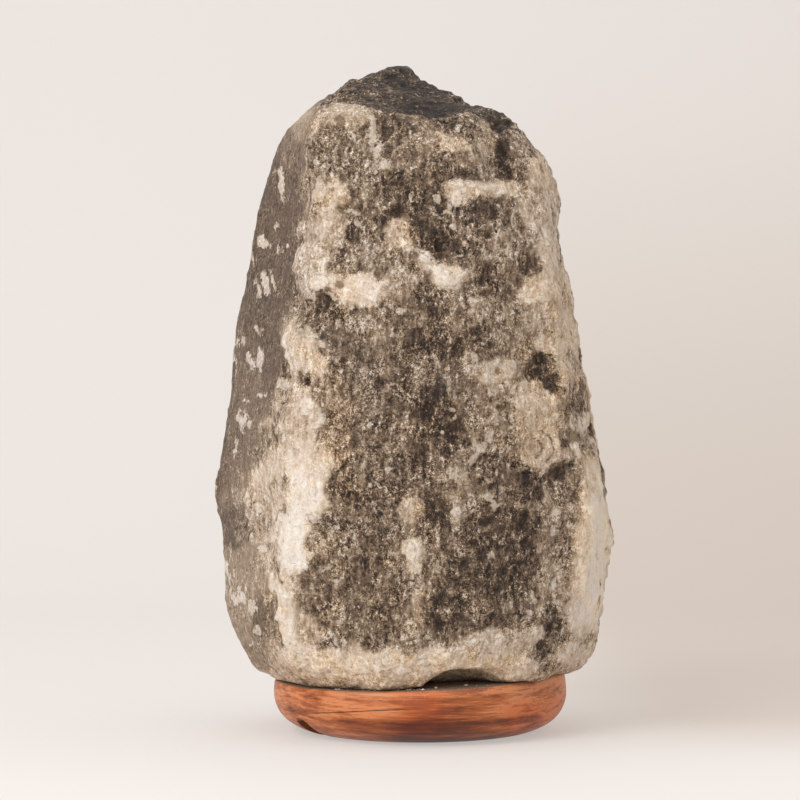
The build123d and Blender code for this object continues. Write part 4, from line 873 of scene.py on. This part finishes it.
def turned_wood(wood):
    """Waxed reddish wood, its grain lying across the front, with salt dust on the top."""
    m = Finish("turned_wood")
    x, y, z = m.split()
    # the plank lies level, its fibres a little downhill to the left; long streaks, fine pores
    downhill, steeper = (0, math.radians(-3), 0), (0, math.radians(-11), 0)
    fibre = m.mapped((0.05, 0.2, 1.0), downhill)
    slant = m.mapped((0.09, 0.25, 1.0), steeper)
    wide = m.noise(170, 3, 0.6, 0.3, fibre) - 0.5
    streak = m.noise(620, 4, 0.7, 0.2, fibre) - 0.5
    figure = m.noise(330, 4, 0.65, 0.5, slant) - 0.5
    pores = m.noise(1500, 2, 0.7, 0, m.mapped((0.07, 0.25, 1.0), downhill))
    patch = m.noise(34, 3, 0.5, 0.3, m.mapped((0.55, 1, 1.3))) - 0.5
    # painted shade makes the wood darker low down, where the base turns under; the wood is darker in the
    # middle; painted light makes it paler towards both ends, most at the right end
    heart = (0.024 - abs(x - 0.004)).ramp(0.0, 0.016) * (0.019 - z).ramp(0.0, 0.005)
    depth = wide * 1.5 + streak * 1.9 + figure * 1.3 + patch * 0.7 + 0.44
    depth = depth + (0.012 - z) * 9 + heart * 0.26
    depth = depth - (abs(x) - 0.014) * 4 - (x - 0.03).ramp(0.0, 0.01) * 0.2
    shade = m.node(
        "ShaderNodeValToRGB",
        {"stops": ((0.0, wood.light), (1.0, dimmed(wood.deep, 0.55)), (0.3, wood.middle),
                   (0.7, wood.deep))},
        {"Fac": depth}, "Color",
    )
    shade = m.mix(pores.ramp(0.6, 0.7) * 0.45, shade, dimmed(wood.deep, 0.3))
    # the middle and the lower right end are redder
    red = (0.016 - abs(x)).ramp(0.0, 0.012)
    red = red + (x - 0.03).ramp(0.0, 0.008) * (0.019 - z).ramp(0.0, 0.005)
    shade = m.tinted(red.ramp(0.0, 1.0), shade, (0.97, 0.77, 0.6))
    # painted sheen: a pale haze of the key light's reflection on the waxed shoulder, strongest at the left
    sheen = (m.noise(60, 3, 0.6, 0, m.mapped((0.8, 1, 2))) + (z - 0.017) * 26).ramp(0.5, 0.8)
    shade = m.mix(sheen * (0.22 - x * 2), shade, wood.sheen)
    # a fine drying crack at the front
    crack = abs(z - 0.0172 - x * 0.055 + x * x * 1.1 + m.noise(90, 2, place=fibre) * 0.0016)
    crack = (0.00032 - crack).ramp(0.0, 0.0002) * (0.022 - abs(x + 0.026)).ramp(0.0, 0.006)
    crack = crack * (0 - y).ramp(0.02, 0.03)
    shade = m.mix(crack * 0.8, shade, dimmed(wood.deep, 0.15))
    # dust on the flat top, crumbs of it on the shoulder
    level = m.split(m.node("ShaderNodeNewGeometry", out="Normal"))[2]
    powder = m.noise(900, 3, 0.7)
    dust = (level + (powder - 0.5) * 0.5).ramp(0.8, 0.98)
    grime = m.mix(powder.ramp(0.35, 0.7), dimmed(wood.dust, 0.7), wood.dust)
    shade = m.mix(dust * 0.88, shade, grime)
    specks = (m.noise(1700, 1, 0.5) + (z - 0.021) * 18).ramp(0.7, 0.76) * 0.45
    shade = m.mix(specks, shade, (0.7, 0.6, 0.5))
    # the groove, 33 degrees towards the front from the left, and the recess below are painted dark: painted
    # shade inside them
    groove_shade = (0.0046 - abs(y * 0.839 - x * 0.544)).ramp(0.0, 0.0003) * (0.0075 - z).ramp(0.0, 0.0005)
    recess_shade = (0.0285 - (x * x + y * y).math("SQRT")).ramp(0.0, 0.001) * (0.0135 - z).ramp(0.0, 0.001)
    under = (groove_shade * (0 - x).ramp(0.0, 0.01) + recess_shade).ramp(0.0, 1.0)
    return m.finish(
        base_color=m.mix(under * 0.75, shade, dimmed(wood.deep, 0.35)),
        roughness=0.42 + dust * 0.5 + pores * 0.14 + under * 0.3,
        normal=m.bump(pores * -0.5 - crack + streak * 0.3, 0.25 * MM, 0.6),
        coat_weight=0.12 - dust * 0.12,
        coat_roughness=0.25,
        specular_ior_level=0.4,
    )


# ---- bulb and holder -------------------------------------------------------------------------------

THREAD_STEPS = 40  # to a turn
COIL_STEPS = 10  # to a turn


def plated(name, tone, rough_level=0.3, wear=0.12):
    """Plated or bright sheet metal with faint smears."""
    m = Finish(name)
    smear = m.noise(60, 4, 0.6)
    grain = m.noise(1800, 2, place=m.mapped((1, 1, 0.08)))
    return m.finish(
        base_color=m.mix(smear.ramp(0.35, 0.75), dimmed(tone, 0.82), tone),
        metallic=1.0,
        roughness=rough_level + smear * wear + (grain - 0.5) * 0.12,
        normal=m.bump(grain, 0.02 * MM, 0.5),
    )


def moulded(name, tone, gloss=0.35):
    """Moulded plastic or glazed porcelain, with a faint orange-peel."""
    m = Finish(name)
    peel = m.noise(900, 2)
    grime = m.noise(70, 4, 0.6)
    return m.finish(
        base_color=m.mix(grime.ramp(0.45, 0.8) * 0.5, tone, dimmed(tone, 0.8)),
        roughness=gloss + grime * 0.15,
        normal=m.bump(peel, 0.03 * MM, 0.4),
    )


def clear_glass():
    """Thin clear bulb glass."""
    m = Finish("bulb_clear_glass")
    return m.finish(
        base_color=(0.97, 0.98, 0.98), roughness=0.02 + m.noise(200, 2) * 0.03, ior=1.47,
        transmission_weight=1.0,
    )


def thread(name, radius, rise, pitch, low, high, outward=True):
    """A rounded thread that winds up round the axis between two heights."""
    turns = (high - low) / pitch
    side = 1 if outward else -1
    # its section, a ring of five points: how far out of the surface, and how far up in pitches
    sunk, flank = -0.05 * MM, 0.6 * rise
    section = (sunk, -0.3), (flank, -0.16), (rise, 0), (flank, 0.16), (sunk, 0.3)
    bpy.ops.object.select_all(action="DESELECT")
    bpy.ops.mesh.primitive_plane_add(size=1, location=(0, 0, 0))
    ridge = bpy.context.object
    ridge.name = name
    ridge.data.clear_geometry()
    ring = [(radius + side * out, 0, low + up * pitch) for out, up in section]
    ridge.data.from_pydata(ring, [(i, (i + 1) % len(ring)) for i in range(len(ring))], [])
    steps = int(turns * THREAD_STEPS)
    modify(
        ridge, "SCREW", axis="Z", angle=turns * math.tau, screw_offset=high - low, steps=steps,
        render_steps=steps, use_smooth_shade=True,
    )
    # both ends are closed
    pick(ridge)
    bpy.ops.object.mode_set(mode="EDIT")
    bpy.ops.mesh.select_all(action="DESELECT")
    bpy.ops.mesh.select_non_manifold()
    bpy.ops.mesh.edge_face_add()
    bpy.ops.mesh.select_all(action="SELECT")
    bpy.ops.mesh.normals_make_consistent(inside=False)
    bpy.ops.object.mode_set(mode="OBJECT")
    return ridge


class LAMP_OT_bulb(bpy.types.Operator):
    """Finishes the bulb: glass, rolled thread and coiled filament"""

    bl_idname = "lamp.bulb"
    bl_label = "Bulb"

    def execute(self, context):
        hardware = context.scene.lamp_hardware
        glass, nickel = clear_glass(), plated("bulb_nickel", (0.72, 0.7, 0.66), 0.25)
        dress_nodes({
            "bulb_glass": glass, "bulb_stem": glass, "bulb_cap": nickel,
            "bulb_insulator": moulded("bulb_black_glass", (0.02, 0.02, 0.022), 0.2),
            "bulb_contact": plated("bulb_solder", (0.55, 0.55, 0.54), 0.45),
            "lead_wires": plated("lead_wire", (0.6, 0.5, 0.42), 0.35),
            "support_wire": plated("support_wire_metal", (0.45, 0.44, 0.43), 0.4),
        })
        pitch = hardware.bulb_pitch
        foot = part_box("bulb_cap")[0][2] + 3.2 * MM
        roll = thread("bulb_thread", 6.8 * MM, 0.22 * MM, pitch, low=foot, high=foot + 3.5 * pitch)
        dress(roll, nickel)
        settle(roll, "bulb")

        # a coil along the filament's bow
        low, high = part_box("filament")
        middle = (low[2] + high[2]) / 2
        reach, wire, coil, bow = 6.5 * MM, 0.07 * MM, 0.36 * MM, 2.2 * MM
        curve = bpy.data.curves.new("filament_coil", "CURVE")
        curve.dimensions = "3D"
        curve.bevel_depth = wire
        curve.bevel_resolution = 1
        spline = curve.splines.new("POLY")
        steps = hardware.coil_turns * COIL_STEPS
        spline.points.add(steps)
        for index in range(steps + 1):
            share = index / steps
            turn = share * hardware.coil_turns * math.tau
            x = -reach + 2 * reach * share
            z = middle - bow / 2 + bow * (1 - (2 * share - 1) ** 2)
            spline.points[index].co = (x, coil * math.cos(turn), z + coil * math.sin(turn), 1)
        made = bpy.data.objects.new("filament_coil", curve)
        bpy.context.scene.collection.objects.link(made)
        pick(made)
        bpy.ops.object.convert(target="MESH")
        coil_mesh = bpy.context.object
        coil_mesh.data.shade_smooth()
        dress(coil_mesh, plated("filament_tungsten", (0.3, 0.3, 0.31), 0.4))
        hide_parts("filament")
        settle(coil_mesh, "bulb")
        return {"FINISHED"}


class LAMP_OT_holder(bpy.types.Operator):
    """Finishes the bulb holder, its plate, clip, nipple and screws"""

    bl_idname = "lamp.holder"
    bl_label = "Bulb holder"

    def execute(self, context):
        hardware = context.scene.lamp_hardware
        zinc = plated("zinc_steel", (0.62, 0.63, 0.62), 0.35)
        nickel = plated("nickel_sheet", (0.7, 0.69, 0.66), 0.28)
        spring = plated("spring_strip", (0.5, 0.5, 0.51), 0.3)
        brass = plated("pressed_brass", (0.78, 0.56, 0.24), 0.3)
        thermoset = moulded("holder_thermoset", (0.78, 0.75, 0.68), 0.35)
        dress_nodes({
            "base_screws": zinc, "lock_nut": zinc, "nipple": zinc, "terminal_screws": zinc,
            "holder_plate": nickel, "clip_bridge": spring, "clip_rivets": spring,
            "clip_wing_left": spring, "clip_wing_right": spring,
            "terminal_blocks": brass, "centre_contact": brass, "screw_shell": brass,
            "holder_cap": thermoset, "holder_sleeve": thermoset,
            "contact_carrier": moulded("porcelain", (0.82, 0.81, 0.77), 0.15),
            "cord_grommet": moulded("grommet_plastic", (0.8, 0.79, 0.75), 0.5),
            "salt_plugs": moulded("plug_nylon", (0.72, 0.7, 0.64), 0.5),
        })
        pitch = hardware.bulb_pitch
        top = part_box("screw_shell")[1][2] - 0.9 * MM
        shell = thread(
            "shell_thread", 7.1 * MM, 0.2 * MM, pitch, low=top - 4 * pitch, high=top, outward=False
        )
        dress(shell, brass)
        settle(shell, "holder")
        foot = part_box("nipple")[0][2] + 0.6 * MM
        rod = thread(
            "nipple_thread", 4.95 * MM, 0.12 * MM, hardware.nipple_pitch, low=foot, high=foot + 3 * MM
        )
        dress(rod, zinc)
        settle(rod, "holder")
        return {"FINISHED"}


# ---- crumbs of salt on the base --------------------------------------------------------------------

CRUMBS = 70


class LAMP_OT_salt_crumbs(bpy.types.Operator):
    """Strews crumbs of salt on the base's top, in front of the block"""

    bl_idname = "lamp.salt_crumbs"
    bl_label = "Salt crumbs"

    def execute(self, context):
        dice = random.Random(4)
        bpy.ops.object.select_all(action="DESELECT")
        bpy.ops.mesh.primitive_ico_sphere_add(subdivisions=1, radius=1, location=(0, 0, 0))
        model = bpy.context.object
        crumbs = []
        for _ in range(CRUMBS):
            # most of them at the front left
            gathered = dice.random() < 0.6
            turn = math.radians(dice.gauss(-112, 13) if gathered else dice.uniform(-170, -20))
            reach = dice.uniform(51, 59.4) * MM
            size = dice.choice((0.25, 0.3, 0.35, 0.45, 0.7)) * MM
            x, y = reach * math.cos(turn), reach * math.sin(turn)
            z = SEAT_HEIGHT + x * SEAT_RISE_RIGHT + y * SEAT_RISE_BACK + size * 0.35
            crumb = bpy.data.objects.new("salt_crumbs", model.data.copy())
            bpy.context.scene.collection.objects.link(crumb)
            crumb.location = (x, y, z)
            stretches = (0.7, 1.5), (0.7, 1.3), (0.5, 0.9)
            crumb.scale = [size * dice.uniform(*limits) for limits in stretches]
            for vertex in crumb.data.vertices:
                vertex.co *= dice.uniform(0.75, 1.2)
            crumbs.append(crumb)
        bpy.data.objects.remove(model)
        pick(crumbs[0])
        for crumb in crumbs:
            crumb.select_set(True)
        bpy.ops.object.join()
        heap = bpy.context.object
        heap.name = "salt_crumbs"
        m = Finish("loose_salt")
        tint = m.noise(500, 2)
        dress(heap, m.finish(
            base_color=m.mix(tint.ramp(0.4, 0.6), (0.5, 0.42, 0.33), (0.82, 0.75, 0.66)),
            roughness=0.55 + tint * 0.1,
            normal=m.bump(m.noise(4000, 2), 0.1 * MM, 0.6),
        ))
        settle(heap, "lamp")
        return {"FINISHED"}


# ---- studio ----------------------------------------------------------------------------------------

# The sheet of paper, in metres: its half width, where it ends in front, where it starts to bend up
# behind, and the radius of the bend.
PAPER_HALF_WIDTH, PAPER_FRONT, PAPER_BEND, PAPER_CURVE = 4, -3.9, 0.62, 0.55


def soft_lamp(name, place, target, size, power):
    """A square soft light that faces a point."""
    light = bpy.data.lights.new(name, "AREA")
    light.size = size
    light.energy = power
    lamp = bpy.data.objects.new(name, light)
    bpy.context.scene.collection.objects.link(lamp)
    way = Vector(target) - Vector(place)
    lamp.matrix_world = Matrix.Translation(place) @ way.to_track_quat("-Z", "Y").to_matrix().to_4x4()


class LAMP_OT_stage(bpy.types.Operator):
    """Sets up the camera, the lamps and the pale paper sweep"""

    bl_idname = "lamp.stage"
    bl_label = "Stage"

    def execute(self, context):
        stage = context.scene.lamp_stage
        data = bpy.data.cameras.new("camera")
        data.lens = stage.lens
        data.sensor_width = 36
        data.clip_end = 20
        camera = bpy.data.objects.new("camera", data)
        bpy.context.scene.collection.objects.link(camera)
        camera.location = (stage.aside, -stage.distance, stage.height)
        camera.rotation_euler = (math.radians(90), 0, 0)
        bpy.context.scene.camera = camera

        # one sheet of paper: flat under the lamp, then curving up behind it
        bpy.ops.object.select_all(action="DESELECT")
        bpy.ops.mesh.primitive_plane_add(size=2, location=(0, 0, -0.2 * MM))
        sheet = bpy.context.object
        sheet.name = "paper_sweep"
        sheet.scale = (PAPER_HALF_WIDTH, 2.25, 1)
        bpy.ops.object.transform_apply(location=True, rotation=True, scale=True)
        bpy.ops.object.mode_set(mode="EDIT")
        bpy.ops.mesh.select_all(action="DESELECT")
        bpy.ops.object.mode_set(mode="OBJECT")
        for vertex in sheet.data.vertices:
            vertex.co.y = PAPER_BEND if vertex.co.y > 0 else PAPER_FRONT
        for edge in sheet.data.edges:
            edge.select = all(sheet.data.vertices[i].co.y > 0 for i in edge.vertices)
        bpy.ops.object.mode_set(mode="EDIT")
        bpy.ops.mesh.spin(
            steps=24, angle=math.radians(-82), center=(0, PAPER_BEND, PAPER_CURVE), axis=(1, 0, 0)
        )
        bpy.ops.mesh.extrude_region_move(TRANSFORM_OT_translate={"value": (0, 0.4, 2.8)})
        bpy.ops.object.mode_set(mode="OBJECT")
        sheet.data.shade_smooth()
        dress(sheet, paper(stage))

        soft_lamp("key", place=(-0.85, -1.15, 0.95), target=(0, 0, 0.12), size=0.9, power=stage.key)
        soft_lamp("top", place=(0.1, 0.15, 1.5), target=(0, 0, 0.1), size=1.2, power=stage.key * 0.45)
        world = bpy.data.worlds.new("studio")
        world.use_nodes = True
        nodes, links = world.node_tree.nodes, world.node_tree.links
        nodes["Background"].inputs["Color"].default_value = (1, 0.962, 0.925, 1)
        nodes["Background"].inputs["Strength"].default_value = stage.fill
        # the camera sees the backdrop's own colour past the paper's edges
        kinds = "ShaderNodeBackground", "ShaderNodeMixShader", "ShaderNodeLightPath"
        seen, either, rays = map(nodes.new, kinds)
        seen.inputs["Color"].default_value = (*stage.far, 1)
        links.new(rays.outputs["Is Camera Ray"], either.inputs[0])
        links.new(nodes["Background"].outputs[0], either.inputs[1])
        links.new(seen.outputs[0], either.inputs[2])
        links.new(either.outputs[0], nodes["World Output"].inputs["Surface"])
        bpy.context.scene.world = world
        bpy.context.scene.view_settings.view_transform = "Standard"
        return {"FINISHED"}


def paper(stage):
    """Pale paper, a little darker to the right as painted shade, with a painted shadow right of the lamp,
    and see-through from below, to show the underside.
    """
    m = Finish("pale_paper")
    x, y, z = m.split()
    shade = m.mix(y.ramp(-0.3, 0.9), stage.floor, stage.wall)
    seen = m.mix(y.ramp(-0.25, 0.1), stage.near, stage.far)
    # the backdrop as the camera sees it is painted darker to the right, away from the key light: painted
    # shade
    seen = m.tinted(x.ramp(-0.4, 0.5) * y.ramp(0.1, 0.6), seen, (0.93, 0.915, 0.9))
    # a painted shadow of the lamp on the paper, to the right of it and just behind
    painted_shadow = x.ramp(0.0, 0.14) * y.ramp(-0.12, 0.06) * (0.5 - z).ramp(0.0, 0.5)
    seen = m.tinted(painted_shadow, seen, (0.77, 0.715, 0.67))
    shade = m.tinted(painted_shadow, shade, (0.91, 0.87, 0.83))
    m.finish(base_color=shade, roughness=0.85, specular_ior_level=0.1)
    # what the camera, metal and glass see is half plain paper colour, so that the shadow stays faint
    kinds = "Camera", "Glossy", "Transmission"
    camera, glossy, through = (m.node("ShaderNodeLightPath", out=f"Is {kind} Ray") for kind in kinds)
    rays = (camera + glossy + through).ramp(0.0, 1.0)
    glow = m.node("ShaderNodeEmission", {}, {"Color": seen, "Strength": 1.0})
    sheet = m.node("ShaderNodeMixShader", {}, {0: rays * 0.5, 1: Wire(m, m.shader.outputs[0]), 2: glow})
    under = m.node("ShaderNodeNewGeometry", out="Backfacing")
    clear = m.node("ShaderNodeBsdfTransparent")
    both = m.node("ShaderNodeMixShader", {}, {0: under, 1: sheet, 2: clear})
    m.join(both, m.tree.nodes["Material Output"].inputs["Surface"])
    return m.material


OPERATORS = (
    LAMP_OT_salt_crystal, LAMP_OT_wooden_base, LAMP_OT_salt_crumbs, LAMP_OT_bulb, LAMP_OT_holder,
    LAMP_OT_stage,
)
SETTINGS = {
    "lamp_salt": SaltSettings, "lamp_wood": WoodSettings, "lamp_hardware": HardwareSettings,
    "lamp_stage": StageSettings,
}


class LAMP_PT_panel(bpy.types.Panel):
    """Lists the lamp's pieces and their sizes and colours"""

    bl_idname = "LAMP_PT_panel"
    bl_label = "Salt crystal lamp"
    bl_space_type = "VIEW_3D"
    bl_region_type = "UI"
    bl_category = "Salt Lamp"

    def draw(self, context):
        for name, group in SETTINGS.items():
            box = self.layout.box()
            for prop in group.__annotations__:
                box.prop(getattr(context.scene, name), prop)
        for operator in OPERATORS:
            self.layout.operator(operator.bl_idname)


def register():
    for group in SETTINGS.values():
        bpy.utils.register_class(group)
    for name, group in SETTINGS.items():
        setattr(bpy.types.Scene, name, bpy.props.PointerProperty(type=group))
    for operator in OPERATORS:
        bpy.utils.register_class(operator)
    bpy.utils.register_class(LAMP_PT_panel)


def unregister():
    bpy.utils.unregister_class(LAMP_PT_panel)
    for operator in reversed(OPERATORS):
        bpy.utils.unregister_class(operator)
    for name, group in SETTINGS.items():
        delattr(bpy.types.Scene, name)
        bpy.utils.unregister_class(group)


def main():
    register()
    bpy.ops.lamp.stage()
    bpy.ops.lamp.salt_crystal()
    bpy.ops.lamp.wooden_base()
    bpy.ops.lamp.salt_crumbs()
    bpy.ops.lamp.bulb()
    bpy.ops.lamp.holder()


if __name__ == "__main__":
    main()
